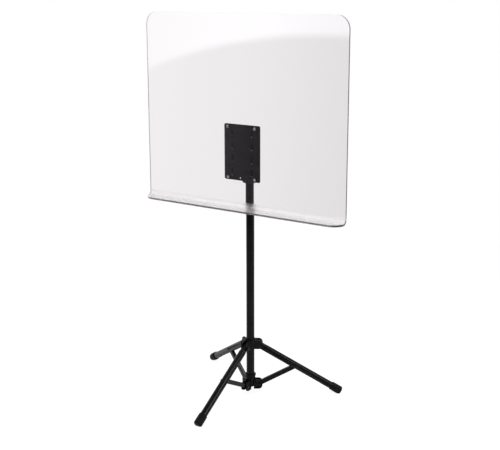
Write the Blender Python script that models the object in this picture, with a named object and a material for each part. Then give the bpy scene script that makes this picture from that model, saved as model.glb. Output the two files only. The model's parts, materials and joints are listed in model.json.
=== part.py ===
"""A clear acoustic shield on a folding tripod stand.

Metres, +Z up. The shield's lip and one leg point to the front, which is -Y.
The origin is on the floor, under the middle of the object's bounding box.
Outlines are written as (forward, up), (sideways, up) or (outward, up) pairs,
where forward and outward are distances from the pole's axis.
"""

import math

import bmesh
import bpy
from mathutils import Matrix, Vector

MM = 0.001
AIR = 0.3 * MM  # left between pieces that touch, so that their meshes stay apart
SPARE = 5 * MM  # how far a cutter runs past what it cuts

# Clear sheet, bent once along its lower edge
PANEL_WIDTH = 610 * MM
PANEL_TOP = 1036 * MM
PANEL_BOTTOM = 528 * MM
PANEL_THICK = 5 * MM
PANEL_FRONT = 42 * MM
PANEL_BEND = 10 * MM
PANEL_LIP = 35 * MM
PANEL_CORNER = 35 * MM

# Flat steel plate behind the sheet
PLATE_WIDTH = 110 * MM
PLATE_HEIGHT = 148 * MM
PLATE_THICK = 2.5 * MM
PLATE_MIDDLE = 678.3 * MM
PLATE_CORNER = 4.5 * MM
RECESS_WIDTH = 5.5 * MM
RECESS_LENGTH = 17 * MM
RECESS_DEPTH = 1.6 * MM
RECESS_COLUMN = 30 * MM
RECESS_PITCH = 34.5 * MM
RECESS_ROWS = 4
SMALL_HOLE = (-6 * MM, 611 * MM)
SMALL_HOLE_R = 2 * MM

# Machine screws that clamp the sheet to the plate
BOLT_X = 41.5 * MM
BOLT_Z = 66.7 * MM
BOLT_R = 2 * MM
BOLT_HEAD_R = 3.8 * MM
BOLT_HEAD = 2.6 * MM
BOLT_HOLE_R = 2.3 * MM
SHEET_HOLE_R = 2.6 * MM
WASHER_R = 4.5 * MM
WASHER_THICK = 0.8 * MM
NUT_R = 4.04 * MM
NUT_THICK = 3.2 * MM
BOLT_END = 1.5 * MM

# Folded bracket on the plate's back, and the tilt axis between its ears
TILT_Z = 677.5 * MM
YOKE_THICK = 2.5 * MM
YOKE_INSIDE = 14.6 * MM
YOKE_LOW = 616 * MM
YOKE_HIGH = 738 * MM
YOKE_FLANGE = 26.5 * MM
YOKE_EAR_R = 11 * MM
YOKE_EAR_ROOT = 26 * MM
TILT_BOLT_R = 3 * MM
TILT_HOLE_R = 3.3 * MM
TILT_HEAD_R = 5.8 * MM
TILT_HEAD = 4 * MM
TILT_NUT = 5 * MM
TILT_BOLT_END = 3 * MM
TILT_WASHER_R = 9 * MM
BLOCK_HALF = 13 * MM
BLOCK_R = 11 * MM
BLOCK_LOW = 652.8 * MM

# Pole, telescoping rod and the twist clutch that holds the rod
POLE_R = 11 * MM
POLE_BORE = 9.5 * MM
POLE_LOW = 16 * MM
POLE_HIGH = 636 * MM
ROD_R = 8 * MM
ROD_BORE = 6.5 * MM
ROD_LOW = 240 * MM
ROD_HIGH = 668 * MM
GUIDE_LENGTH = 25 * MM
CLUTCH_R = 19.2 * MM
CLUTCH_LOW = 594.5 * MM
CLUTCH_SEAM = 600 * MM
CLUTCH_HIGH = 652 * MM
CLUTCH_NECK_R = 14.5 * MM
CLUTCH_NECK_TOP = 641 * MM
CLUTCH_EDGE = 1.5 * MM
CLUTCH_SHOULDER = 3 * MM
COLLET_R = 11 * MM
COLLET_TOP = 648.2 * MM
COLLET_SPLIT = 2 * MM
FLUTES = 12
FLUTE_DEPTH = 0.9 * MM

# Tripod linkage: every pivot lies on the same circle round the pole
SIDES = {"front": -90.0, "right": 30.0, "left": 150.0}
PIVOT_OUT = 26 * MM
COLLAR_PIVOT_Z = 136 * MM
HUB_PIVOT_Z = 23 * MM
LEG_SLOPE = math.radians(30.4)
LEG_LENGTH = 260 * MM
BRACE_ALONG_LEG = 117 * MM
FORK_ROOT = 9.5 * MM
FORK_END = 33.5 * MM
FORK_ROUND = 11 * MM
PIN_R = 2.2 * MM
PIN_HOLE_R = 2.5 * MM
PIN_HEAD_R = 4 * MM
PIN_HEAD = 1.5 * MM

# Sliding collar
COLLAR_LOW = 127 * MM
COLLAR_HIGH = 153 * MM
COLLAR_R = 14.5 * MM
COLLAR_BORE = 12.6 * MM
COLLAR_EAR = 4 * MM
TONGUE_HALF = 5 * MM
TONGUE_R = 8 * MM
BUSH_RIM = 1.8 * MM

# Fixed lower hub
HUB_LOW = 10 * MM
HUB_HIGH = 52 * MM
HUB_R = 13.5 * MM
HUB_ROUND = 4.5 * MM
HUB_RING_R = 15 * MM
HUB_RING_LOW = 47 * MM
HUB_RING_EDGE = 0.6 * MM
HUB_EAR = 3.5 * MM
HUB_EAR_HIGH = 36 * MM
SCREW_Z = 43 * MM
SCREW_R = 1.3 * MM
SCREW_HEAD_R = 3 * MM
SCREW_HEAD = 1.8 * MM

# Leg, brace and foot
LEG_R = 9.5 * MM
LEG_BORE = 8.2 * MM
LEG_START = 16.3 * MM
LEG_END = 240 * MM
PLUG_SHOULDER = 14 * MM
PLUG_END = 34 * MM
NEST_BEHIND = 17.5 * MM
NEST_AHEAD = 82 * MM
NEST_HALF = 5.6 * MM
BRACE_HALF = 5 * MM
BRACE_WALL = 1.5 * MM
BRACE_ABOVE = 7.8 * MM
BRACE_BELOW = 4.2 * MM
BRACE_HOLE_R = 2 * MM
BRACE_HOLE_SHARE = 0.12
FOOT_R = 11.5 * MM
FOOT_MOUTH = 229 * MM
FOOT_SOLID = 241 * MM
FOOT_ROUND = 4.5 * MM
FOOT_EDGE = 0.6 * MM

# Number of flat sides on round pieces
FINE = 24
MEDIUM = 20
COARSE = 12

# Directions that an outline's two axes and its depth point to
OUTWARD = Matrix(((1, 0, 0, 0), (0, 0, -1, 0), (0, 1, 0, 0), (0, 0, 0, 1)))
PROFILE = Matrix(((0, 0, -1, 0), (-1, 0, 0, 0), (0, 1, 0, 0), (0, 0, 0, 1)))
LENGTHWISE = Matrix.Rotation(math.pi / 2, 4, "Y")
CROSSWISE = Matrix.Rotation(math.pi / 2, 4, "X")

# Where the brace meets the leg, and the brace that this leaves, with the leg open
BRACE_TOP = Vector((
    PIVOT_OUT + BRACE_ALONG_LEG * math.cos(LEG_SLOPE),
    0.0,
    COLLAR_PIVOT_Z - BRACE_ALONG_LEG * math.sin(LEG_SLOPE),
))
BRACE_RUN = BRACE_TOP - Vector((PIVOT_OUT, 0.0, HUB_PIVOT_Z))
BRACE_LENGTH = BRACE_RUN.length
BRACE_SLOPE = math.atan2(BRACE_RUN.z, BRACE_RUN.x)


def foot_reach(turn):
    """How far a foot reaches from the pole's axis, in a level direction turned this far from its leg."""
    along = math.cos(turn) * math.cos(LEG_SLOPE)
    across = math.sqrt(1.0 - along**2)
    round_start = LEG_LENGTH - FOOT_ROUND
    round_out = FOOT_R - FOOT_ROUND
    return math.cos(turn) * PIVOT_OUT + along * round_start + across * round_out + FOOT_ROUND


# The pole stands behind the middle, because one foot points forward and two point back
AXIS_Y = (foot_reach(0.0) - foot_reach(math.radians(60.0))) / 2
STAND = Matrix.Translation((0.0, AXIS_Y, 0.0))


def arc(centre, radius, start, end, steps):
    """Points on an arc, with its angles in degrees."""
    points = []
    for i in range(steps + 1):
        angle = math.radians(start + (end - start) * i / steps)
        points.append((centre[0] + radius * math.cos(angle), centre[1] + radius * math.sin(angle)))
    return points


def rounded(low, high, radius, steps=4):
    """A rectangle from corner to corner with round corners."""
    left, bottom = low[0] + radius, low[1] + radius
    right, top = high[0] - radius, high[1] - radius
    outline = arc((right, bottom), radius, -90, 0, steps)
    outline += arc((right, top), radius, 0, 90, steps)
    outline += arc((left, top), radius, 90, 180, steps)
    outline += arc((left, bottom), radius, 180, 270, steps)
    return outline


def prism(outline, start, end, turn=Matrix()):
    """An outline drawn out from one depth to another, then turned into place."""
    bm = bmesh.new()
    face = bm.faces.new([bm.verts.new((x, y, start)) for x, y in outline])
    drawn = bmesh.ops.extrude_face_region(bm, geom=[face])
    moved = [item for item in drawn["geom"] if isinstance(item, bmesh.types.BMVert)]
    bmesh.ops.translate(bm, verts=moved, vec=(0.0, 0.0, end - start))
    bmesh.ops.remove_doubles(bm, verts=bm.verts, dist=1e-7)
    bmesh.ops.recalc_face_normals(bm, faces=bm.faces)
    bmesh.ops.transform(bm, matrix=turn, verts=bm.verts)
    return bm


def box(low, high, turn=Matrix()):
    """A block from its lowest to its highest corner."""
    outline = [(low[0], low[1]), (high[0], low[1]), (high[0], high[1]), (low[0], high[1])]
    return prism(outline, low[2], high[2], turn)


def turned(profile, sides=FINE, turn=Matrix(), flutes=0):
    """A solid turned round Z from (radius, height) pairs: a closed loop, or a line that ends on the axis."""
    bm = bmesh.new()
    widest = max(radius for radius, _ in profile)
    rings = []
    for radius, height in profile:
        if radius == 0.0:
            rings.append([bm.verts.new((0.0, 0.0, height))])
            continue
        ring = []
        for i in range(sides):
            angle = 2.0 * math.pi * (i + 0.5) / sides
            hollow = FLUTE_DEPTH * (0.5 - 0.5 * math.cos(flutes * angle)) if radius == widest else 0.0
            out = radius - hollow
            ring.append(bm.verts.new((out * math.cos(angle), out * math.sin(angle), height)))
        rings.append(ring)
    for one, two in zip(rings, rings[1:] + rings[:1]):
        for i in range(sides):
            corners = [one[i % len(one)], one[(i + 1) % len(one)], two[(i + 1) % len(two)], two[i % len(two)]]
            corners = list(dict.fromkeys(corners))
            if len(corners) > 2:
                bm.faces.new(corners)
    bmesh.ops.recalc_face_normals(bm, faces=bm.faces)
    bmesh.ops.transform(bm, matrix=turn, verts=bm.verts)
    return bm


def rod(radius, low, high, turn=Matrix(), sides=COARSE):
    """A plain round bar between two depths."""
    return turned([(0.0, low), (radius, low), (radius, high), (0.0, high)], sides, turn)


def tube(radius, bore, low, high, sides=FINE, turn=Matrix()):
    """A plain round tube between two depths."""
    return turned([(bore, low), (radius, low), (radius, high), (bore, high)], sides, turn)


def together(shapes):
    """Several shapes that don't touch, as one mesh for a single cut or join."""
    bm = bmesh.new()
    for shape in shapes:
        mesh = bpy.data.meshes.new("shape")
        shape.to_mesh(mesh)
        bm.from_mesh(mesh)
        bpy.data.meshes.remove(mesh)
    return bm


def helper(shape, name):
    mesh = bpy.data.meshes.new(name)
    shape.to_mesh(mesh)
    obj = bpy.data.objects.new(name, mesh)
    bpy.context.collection.objects.link(obj)
    return obj


def carved(base, join=(), cut=()):
    """The base with shapes joined to it and then cut out of it, as one finished mesh."""
    body = helper(base, "body")
    tools = []
    for operation, shapes in (("UNION", join), ("DIFFERENCE", cut)):
        for shape in shapes:
            tool = helper(shape, "tool")
            modifier = body.modifiers.new("carve", "BOOLEAN")
            modifier.operation = operation
            modifier.solver = "EXACT"
            modifier.object = tool
            tools.append(tool)
    graph = bpy.context.evaluated_depsgraph_get()
    mesh = bpy.data.meshes.new_from_object(body.evaluated_get(graph))
    for obj in [body, *tools]:
        bpy.data.objects.remove(obj)
    return mesh


def finish(name, colour, roughness, metallic=0.0, alpha=1.0):
    material = bpy.data.materials.new(name)
    material.use_nodes = True
    shader = material.node_tree.nodes["Principled BSDF"]
    shader.inputs["Base Color"].default_value = (*colour, 1.0)
    shader.inputs["Roughness"].default_value = roughness
    shader.inputs["Metallic"].default_value = metallic
    shader.inputs["Alpha"].default_value = alpha
    return material


def world_of(carrier):
    """The world matrix of an empty, worked out up its chain of parents."""
    matrix = Matrix()
    while carrier:
        matrix = carrier.matrix_basis @ matrix
        carrier = carrier.parent
    return matrix


def carrier(name, place, parent=None):
    """An empty on a joint's axis, which carries the pieces that move together."""
    empty = bpy.data.objects.new(name, None)
    bpy.context.collection.objects.link(empty)
    empty.parent = parent
    empty.matrix_basis = world_of(parent).inverted() @ place
    return empty


def piece(name, mesh, material, parent, place):
    """One named sub-part. Its mesh is drawn in its own frame, and place puts that frame in the world."""
    if isinstance(mesh, bmesh.types.BMesh):
        shape = mesh
        mesh = bpy.data.meshes.new(name)
        shape.to_mesh(mesh)
    mesh.shade_smooth()
    mesh.set_sharp_from_angle(angle=math.radians(35.0))
    obj = bpy.data.objects.new(name, mesh)
    bpy.context.collection.objects.link(obj)
    if not mesh.materials:
        mesh.materials.append(material)
    obj.parent = parent
    obj.matrix_basis = world_of(parent).inverted() @ place
    return obj


def about_pole(side):
    """The frame of one leg's plane: X points outward from the pole along the leg."""
    return STAND @ Matrix.Rotation(math.radians(SIDES[side]), 4, "Z")


def leg_line():
    """From a leg plane's frame to the leg's own: X runs down the leg from its pivot."""
    return Matrix.Translation((PIVOT_OUT, 0.0, COLLAR_PIVOT_Z)) @ Matrix.Rotation(LEG_SLOPE, 4, "Y")


def brace_line():
    """From a leg plane's frame to the brace's own: X runs up along the brace and ends at the leg."""
    return Matrix.Translation(BRACE_TOP) @ Matrix.Rotation(-BRACE_SLOPE, 4, "Y")


def corner_waste(corner, inward, radius):
    """What a round corner leaves over, from its arc to just past the square corner."""
    centre = (corner[0] + inward[0] * radius, corner[1] + inward[1] * radius)
    beyond = (corner[0] - inward[0] * SPARE, corner[1] - inward[1] * SPARE)
    outline = []
    for x, y in arc((0.0, 0.0), radius, 0, 90, 8):
        outline.append((centre[0] - inward[0] * x, centre[1] - inward[1] * y))
    return outline + [(centre[0], beyond[1]), beyond, (beyond[0], centre[1])]


def bolt_places():
    """The four screws as (x, z), with the name of each corner."""
    places = {}
    for height, up in (("top", 1), ("bottom", -1)):
        for hand, across in (("left", -1), ("right", 1)):
            places[f"{height}_{hand}"] = (across * BOLT_X, PLATE_MIDDLE + up * BOLT_Z)
    return places


def panel_mesh():
    """The sheet's profile drawn across its width, with round corners above and on the lip."""
    front, back = PANEL_FRONT, PANEL_FRONT - PANEL_THICK
    bend_z = PANEL_BOTTOM + PANEL_THICK + PANEL_BEND
    bend_centre = (front + PANEL_BEND, bend_z)
    tip = front + PANEL_LIP
    outline = [(back, PANEL_TOP)]
    outline += arc(bend_centre, PANEL_BEND + PANEL_THICK, 180, 270, 8)
    outline += [(tip, PANEL_BOTTOM), (tip, PANEL_BOTTOM + PANEL_THICK)]
    outline += arc(bend_centre, PANEL_BEND, 270, 180, 8)
    outline += [(front, PANEL_TOP)]
    half = PANEL_WIDTH / 2
    waste = []
    lip_cut = (PANEL_BOTTOM - SPARE, bend_z + SPARE)
    for across in (-1, 1):
        top = corner_waste((across * half, PANEL_TOP), (-across, -1), PANEL_CORNER)
        waste.append(prism(top, back - SPARE, front + SPARE, OUTWARD))
        lip = corner_waste((across * half, -tip), (-across, 1), PANEL_CORNER)
        waste.append(prism(lip, *lip_cut))
    holes = []
    for x, z in bolt_places().values():
        holes.append(rod(SHEET_HOLE_R, back - SPARE, front + SPARE, Matrix.Translation((x, 0, z)) @ OUTWARD))
    return carved(prism(outline, -half, half, PROFILE), cut=[together(waste), together(holes)])


def plate_depth():
    front = PANEL_FRONT - PANEL_THICK - AIR
    return front - PLATE_THICK, front


def plate_mesh():
    """A flat plate with two columns of shallow upright recesses, one small hole and four screw holes."""
    back, front = plate_depth()
    half = PLATE_WIDTH / 2
    low = (-half, PLATE_MIDDLE - PLATE_HEIGHT / 2)
    high = (half, PLATE_MIDDLE + PLATE_HEIGHT / 2)
    through = (back - SPARE, front + SPARE)
    holes = []
    for across in (-1, 1):
        for row in range(RECESS_ROWS):
            x = across * RECESS_COLUMN
            z = PLATE_MIDDLE + (row - (RECESS_ROWS - 1) / 2) * RECESS_PITCH
            end = (RECESS_LENGTH - RECESS_WIDTH) / 2
            recess = arc((x, z + end), RECESS_WIDTH / 2, 0, 180, 6)
            recess += arc((x, z - end), RECESS_WIDTH / 2, 180, 360, 6)
            holes.append(prism(recess, front - RECESS_DEPTH, front + SPARE, OUTWARD))
    for x, z in bolt_places().values():
        holes.append(rod(BOLT_HOLE_R, *through, Matrix.Translation((x, 0, z)) @ OUTWARD))
    small = Matrix.Translation((SMALL_HOLE[0], 0, SMALL_HOLE[1]))
    holes.append(rod(SMALL_HOLE_R, *through, small @ OUTWARD))
    plate = prism(rounded(low, high, PLATE_CORNER), back, front, OUTWARD)
    return carved(plate, cut=[together(holes)])


def yoke_mesh():
    """A channel folded from sheet, whose two flanges grow into ears round the tilt axis."""
    front = plate_depth()[0] - AIR
    inside = front - YOKE_THICK
    outline = [(front, YOKE_LOW), (front, YOKE_HIGH), (YOKE_FLANGE, YOKE_HIGH)]
    outline += [(YOKE_FLANGE, TILT_Z + YOKE_EAR_ROOT)]
    outline += arc((0.0, TILT_Z), YOKE_EAR_R, 70, 290, 12)
    outline += [(YOKE_FLANGE, TILT_Z - YOKE_EAR_ROOT), (YOKE_FLANGE, YOKE_LOW)]
    outside = YOKE_INSIDE + YOKE_THICK
    low = (-YOKE_EAR_R - SPARE, YOKE_LOW - SPARE, -YOKE_INSIDE)
    high = (inside, YOKE_HIGH + SPARE, YOKE_INSIDE)
    reach = outside + SPARE
    hole = rod(TILT_HOLE_R, -reach, reach, Matrix.Translation((0, 0, TILT_Z)) @ LENGTHWISE)
    return carved(prism(outline, -outside, outside, PROFILE), cut=[box(low, high, PROFILE), hole])


def block_mesh():
    """The rod's head: a round-topped block with a socket below and the tilt hole through it."""
    outline = [(-BLOCK_R, BLOCK_LOW)] + arc((0.0, TILT_Z), BLOCK_R, 180, 0, 12) + [(BLOCK_R, BLOCK_LOW)]
    socket = rod(ROD_R + AIR, BLOCK_LOW - SPARE, ROD_HIGH + AIR, sides=FINE)
    reach = BLOCK_HALF + SPARE
    hole = rod(TILT_HOLE_R, -reach, reach, Matrix.Translation((0, 0, TILT_Z)) @ LENGTHWISE)
    return carved(prism(outline, -BLOCK_HALF, BLOCK_HALF, PROFILE), cut=[socket, hole])


def pan_screw(head_r, head, shank_r, shank):
    """A screw along Z: its head above 0 with a domed top, its shank below."""
    dome = [(head_r, 0.45 * head), (0.8 * head_r, 0.85 * head), (0.4 * head_r, head), (0.0, head)]
    return turned([(0.0, -shank), (shank_r, -shank), (shank_r, 0.0), (head_r, 0.0), *dome], COARSE)


def nut(radius, hole_r, low, high, turn):
    """A six-sided nut with its hole."""
    return carved(rod(radius, low, high, turn, 6), cut=[rod(hole_r, low - SPARE, high + SPARE, turn)])


def fork_ears(bottom, top, inner, thick):
    """Three pairs of ears, one pair for each leg plane, drawn from just inside the sleeve's wall."""
    outline = [(FORK_ROOT, bottom)]
    outline += arc((FORK_END - FORK_ROUND, bottom + FORK_ROUND), FORK_ROUND, -90, 0, 4)
    outline += arc((FORK_END - FORK_ROUND, top - FORK_ROUND), FORK_ROUND, 0, 90, 4)
    outline += [(FORK_ROOT, top)]
    ears = []
    for degrees in SIDES.values():
        plane = Matrix.Rotation(math.radians(degrees), 4, "Z") @ OUTWARD
        ears.append(prism(outline, inner, inner + thick, plane))
        ears.append(prism(outline, -inner - thick, -inner, plane))
    return together(ears)


def fork_holes(height):
    """The pivot holes through all three forks."""
    reach = FORK_END / 2
    holes = []
    for degrees in SIDES.values():
        plane = Matrix.Rotation(math.radians(degrees), 4, "Z") @ Matrix.Translation((PIVOT_OUT, 0, height))
        holes.append(rod(PIN_HOLE_R, -reach, reach, plane @ CROSSWISE))
    return together(holes)


def screw_line(height):
    """A hole or screw that points straight in from the back of the pole."""
    return Matrix.Translation((0, 0, height)) @ Matrix.Rotation(-math.pi / 2, 4, "X")


def collar_mesh():
    """The sliding collar: a bored sleeve with three forks."""
    sleeve = rod(COLLAR_R, COLLAR_LOW, COLLAR_HIGH, sides=FINE)
    ears = fork_ears(COLLAR_LOW, COLLAR_HIGH, TONGUE_HALF + AIR, COLLAR_EAR)
    bore = rod(COLLAR_BORE, COLLAR_LOW - SPARE, COLLAR_HIGH + SPARE, sides=FINE)
    return carved(sleeve, join=[ears], cut=[bore, fork_holes(COLLAR_PIVOT_Z)])


def lower_hub_mesh():
    """The fixed hub: a blind sleeve with a round bottom, a ring on top and three forks."""
    profile = [(0.0, HUB_LOW)] + arc((HUB_R - HUB_ROUND, HUB_LOW + HUB_ROUND), HUB_ROUND, -90, 0, 3)
    profile += [(HUB_R, HUB_RING_LOW), (HUB_RING_R, HUB_RING_LOW + HUB_RING_EDGE)]
    profile += [(HUB_RING_R, HUB_HIGH - HUB_RING_EDGE), (HUB_RING_R - HUB_RING_EDGE, HUB_HIGH)]
    profile += [(0.0, HUB_HIGH)]
    ears = fork_ears(HUB_LOW, HUB_EAR_HIGH, BRACE_HALF + AIR, HUB_EAR)
    bore = rod(POLE_R + AIR, POLE_LOW - AIR, HUB_HIGH + SPARE, sides=FINE)
    screw = rod(SCREW_R + AIR, POLE_BORE, HUB_R + SPARE, screw_line(SCREW_Z))
    return carved(turned(profile), join=[ears], cut=[bore, fork_holes(HUB_PIVOT_Z), screw])


def pole_mesh():
    screw = rod(SCREW_R + AIR, POLE_BORE - SPARE, POLE_R + SPARE, screw_line(SCREW_Z))
    return carved(tube(POLE_R, POLE_BORE, POLE_LOW, POLE_HIGH), cut=[screw])


def collet_mesh():
    """A ring with one saw cut, which the clutch squeezes onto the rod."""
    ring = tube(COLLET_R, ROD_R + AIR, POLE_HIGH + AIR, COLLET_TOP)
    half = COLLET_SPLIT / 2
    saw = box((0.0, -half, POLE_HIGH - SPARE), (COLLET_R + SPARE, half, COLLET_TOP + SPARE))
    return carved(ring, cut=[saw])


def clutch_base_shape():
    profile = [(POLE_R + AIR, CLUTCH_LOW), (CLUTCH_R - CLUTCH_EDGE, CLUTCH_LOW)]
    profile += [(CLUTCH_R, CLUTCH_LOW + CLUTCH_EDGE), (CLUTCH_R, CLUTCH_SEAM)]
    profile += [(CLUTCH_NECK_R, CLUTCH_SEAM), (CLUTCH_NECK_R, CLUTCH_NECK_TOP)]
    profile += [(POLE_R + AIR, CLUTCH_NECK_TOP)]
    return turned(profile)


def clutch_grip_shape():
    """A fluted grip that screws down over the neck and closes round the rod."""
    low, step, high = CLUTCH_SEAM + AIR, CLUTCH_NECK_TOP + AIR, CLUTCH_HIGH
    profile = [(CLUTCH_NECK_R + AIR, low), (CLUTCH_R - CLUTCH_EDGE, low), (CLUTCH_R, low + CLUTCH_EDGE)]
    profile += [(CLUTCH_R, high - CLUTCH_SHOULDER), (CLUTCH_R - CLUTCH_SHOULDER, high)]
    profile += [(ROD_R + AIR, high), (ROD_R + AIR, COLLET_TOP + AIR)]
    profile += [(COLLET_R + AIR, COLLET_TOP + AIR), (COLLET_R + AIR, step), (CLUTCH_NECK_R + AIR, step)]
    return turned(profile, 4 * FLUTES, flutes=FLUTES)


def collar_bush_shape():
    """The plastic lining of the collar, with a rim that shows on top."""
    inner, outer, rim = POLE_R + AIR, COLLAR_BORE - AIR, COLLAR_R - AIR
    low, seat, top = COLLAR_LOW - AIR, COLLAR_HIGH + AIR, COLLAR_HIGH + BUSH_RIM
    return turned([(inner, low), (outer, low), (outer, seat), (rim, seat), (rim, top), (inner, top)])


def leg_plug_mesh():
    """The leg's end: a round-nosed tongue, a shoulder and a spigot inside the tube."""
    tongue = arc((0.0, 0.0), TONGUE_R, 90, 270, 8)
    spigot_r = LEG_BORE - AIR
    shoulder = LEG_START - AIR
    joined = (PLUG_SHOULDER + shoulder) / 2
    tongue += [(joined, -TONGUE_R), (joined, TONGUE_R)]
    profile = [(0.0, PLUG_SHOULDER), (LEG_R, PLUG_SHOULDER), (LEG_R, shoulder)]
    profile += [(spigot_r, shoulder), (spigot_r, PLUG_END), (0.0, PLUG_END)]
    hole = rod(PIN_HOLE_R, -TONGUE_HALF - SPARE, TONGUE_HALF + SPARE, CROSSWISE)
    base = turned(profile, MEDIUM, LENGTHWISE)
    return carved(base, join=[prism(tongue, -TONGUE_HALF, TONGUE_HALF, OUTWARD)], cut=[hole])


def leg_tube_mesh():
    """The leg, with a pin hole and with a long slot in its underside where the brace folds in."""
    pivot = Matrix.Translation((BRACE_ALONG_LEG, 0, 0)) @ CROSSWISE
    pin = rod(PIN_HOLE_R, -LEG_R - SPARE, LEG_R + SPARE, pivot)
    low = (BRACE_ALONG_LEG - NEST_BEHIND, -NEST_HALF, -LEG_R - SPARE)
    high = (BRACE_ALONG_LEG + NEST_AHEAD, NEST_HALF, -LEG_R / 3)
    return carved(tube(LEG_R, LEG_BORE, LEG_START, LEG_END, MEDIUM, LENGTHWISE), cut=[pin, box(low, high)])


def foot_mesh():
    """A rubber cap, worn flat where it stands on the floor."""
    bore = LEG_R + AIR
    profile = [(0.0, FOOT_SOLID), (bore, FOOT_SOLID), (bore, FOOT_MOUTH)]
    profile += [(FOOT_R - FOOT_EDGE, FOOT_MOUTH), (FOOT_R, FOOT_MOUTH + FOOT_EDGE)]
    centre = (FOOT_R - FOOT_ROUND, LEG_LENGTH - FOOT_ROUND)
    profile += arc(centre, FOOT_ROUND, 0, 90, 4)
    profile += [(0.0, LEG_LENGTH)]
    wide = FOOT_R + SPARE
    below = box((PIVOT_OUT, -wide, -wide), (PIVOT_OUT + LEG_LENGTH, wide, 0.0), leg_line().inverted())
    return carved(turned(profile, MEDIUM, LENGTHWISE), cut=[below])


def brace_mesh():
    """A channel, open below, with round ends, a pivot hole at each end and a small hole near each."""
    end = arc((0.0, 0.0), BRACE_BELOW, -90, 0, 3)
    end += arc((BRACE_BELOW - BRACE_ABOVE, 0.0), BRACE_ABOVE, 0, 90, 5)[1:]
    outline = end + [(-BRACE_LENGTH - x, z) for x, z in reversed(end)]
    inner = BRACE_HALF - BRACE_WALL
    past = BRACE_BELOW + SPARE
    low = (-BRACE_LENGTH - past, -inner, -past)
    high = (past, inner, BRACE_ABOVE - BRACE_WALL)
    pivots = []
    drains = []
    for x in (0.0, -BRACE_LENGTH):
        place = Matrix.Translation((x, 0, 0)) @ CROSSWISE
        pivots.append(rod(PIN_HOLE_R, -BRACE_HALF - SPARE, BRACE_HALF + SPARE, place))
    for share in (BRACE_HOLE_SHARE, 1 - BRACE_HOLE_SHARE):
        place = Matrix.Translation((-BRACE_LENGTH * share, 0, 0))
        drains.append(rod(BRACE_HOLE_R, 0.0, BRACE_ABOVE + SPARE, place))
    base = prism(outline, -BRACE_HALF, BRACE_HALF, OUTWARD)
    return carved(base, cut=[box(low, high), together(pivots), together(drains)])


def pin_shape(half):
    """A headed pin through a joint, along Z, with its heads just outside half."""
    start = half + AIR
    end = start + PIN_HEAD
    upper = [(PIN_R, start), (PIN_HEAD_R, start), (0.85 * PIN_HEAD_R, start + 0.6 * PIN_HEAD)]
    upper += [(0.5 * PIN_HEAD_R, end), (0.0, end)]
    lower = [(radius, -height) for radius, height in reversed(upper)]
    return turned(lower + upper, COARSE, CROSSWISE)


def hub_rivet_shape(hand):
    """A short headed rivet in one ear of a lower fork: its shank ends at the ear's inner face."""
    inner = BRACE_HALF + AIR
    start = inner + HUB_EAR + AIR
    profile = [(0.0, inner), (PIN_R, inner), (PIN_R, start), (PIN_HEAD_R, start)]
    profile += [(0.85 * PIN_HEAD_R, start + 0.6 * PIN_HEAD), (0.0, start + PIN_HEAD)]
    return turned(profile, COARSE, Matrix.Rotation(-hand * math.pi / 2, 4, "X"))


def build_mast(root, paint, plastic, dark):
    piece("outer_tube", pole_mesh(), paint, root, STAND)
    piece("lower_hub", lower_hub_mesh(), plastic, root, STAND)
    screw = pan_screw(SCREW_HEAD_R, SCREW_HEAD, SCREW_R, HUB_R - POLE_BORE)
    screw_seat = screw_line(SCREW_Z) @ Matrix.Translation((0, 0, HUB_R + AIR))
    piece("hub_screw", screw, dark, root, STAND @ screw_seat)
    for side in SIDES:
        pivot = about_pole(side) @ Matrix.Translation((PIVOT_OUT, 0, HUB_PIVOT_Z))
        for hand, word in ((1, "a"), (-1, "b")):
            piece(f"hub_rivet_{side}_{word}", hub_rivet_shape(hand), dark, root, pivot)
    piece("clutch_base", clutch_base_shape(), plastic, root, STAND)
    piece("clutch_collet", collet_mesh(), plastic, root, STAND)
    twist = carrier("clutch_twist", STAND, root)
    piece("clutch_grip", clutch_grip_shape(), plastic, twist, STAND)


def build_tripod(root, paint, plastic, rubber, dark):
    slide = carrier("collar_slide", STAND @ Matrix.Translation((0, 0, COLLAR_PIVOT_Z)), root)
    piece("upper_hub", collar_mesh(), plastic, slide, STAND)
    piece("collar_bush", collar_bush_shape(), plastic, slide, STAND)
    leg_meshes = {"leg_plug": (leg_plug_mesh(), plastic), "leg_tube": (leg_tube_mesh(), paint)}
    leg_meshes["foot"] = (foot_mesh(), rubber)
    brace_shape = brace_mesh()
    for side in SIDES:
        plane = about_pole(side)
        along = plane @ leg_line()
        piece(f"leg_pivot_pin_{side}", pin_shape(TONGUE_HALF + AIR + COLLAR_EAR), dark, slide, along)
        leg = carrier(f"leg_hinge_{side}", along, slide)
        for name, (mesh, material) in leg_meshes.items():
            piece(f"{name}_{side}", mesh, material, leg, along)
        brace_pivot = along @ Matrix.Translation((BRACE_ALONG_LEG, 0, 0))
        piece(f"brace_pin_{side}", pin_shape(LEG_R), dark, leg, brace_pivot)
        brace = carrier(f"brace_hinge_{side}", plane @ brace_line(), leg)
        piece(f"brace_{side}", brace_shape, paint, brace, plane @ brace_line())


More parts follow.
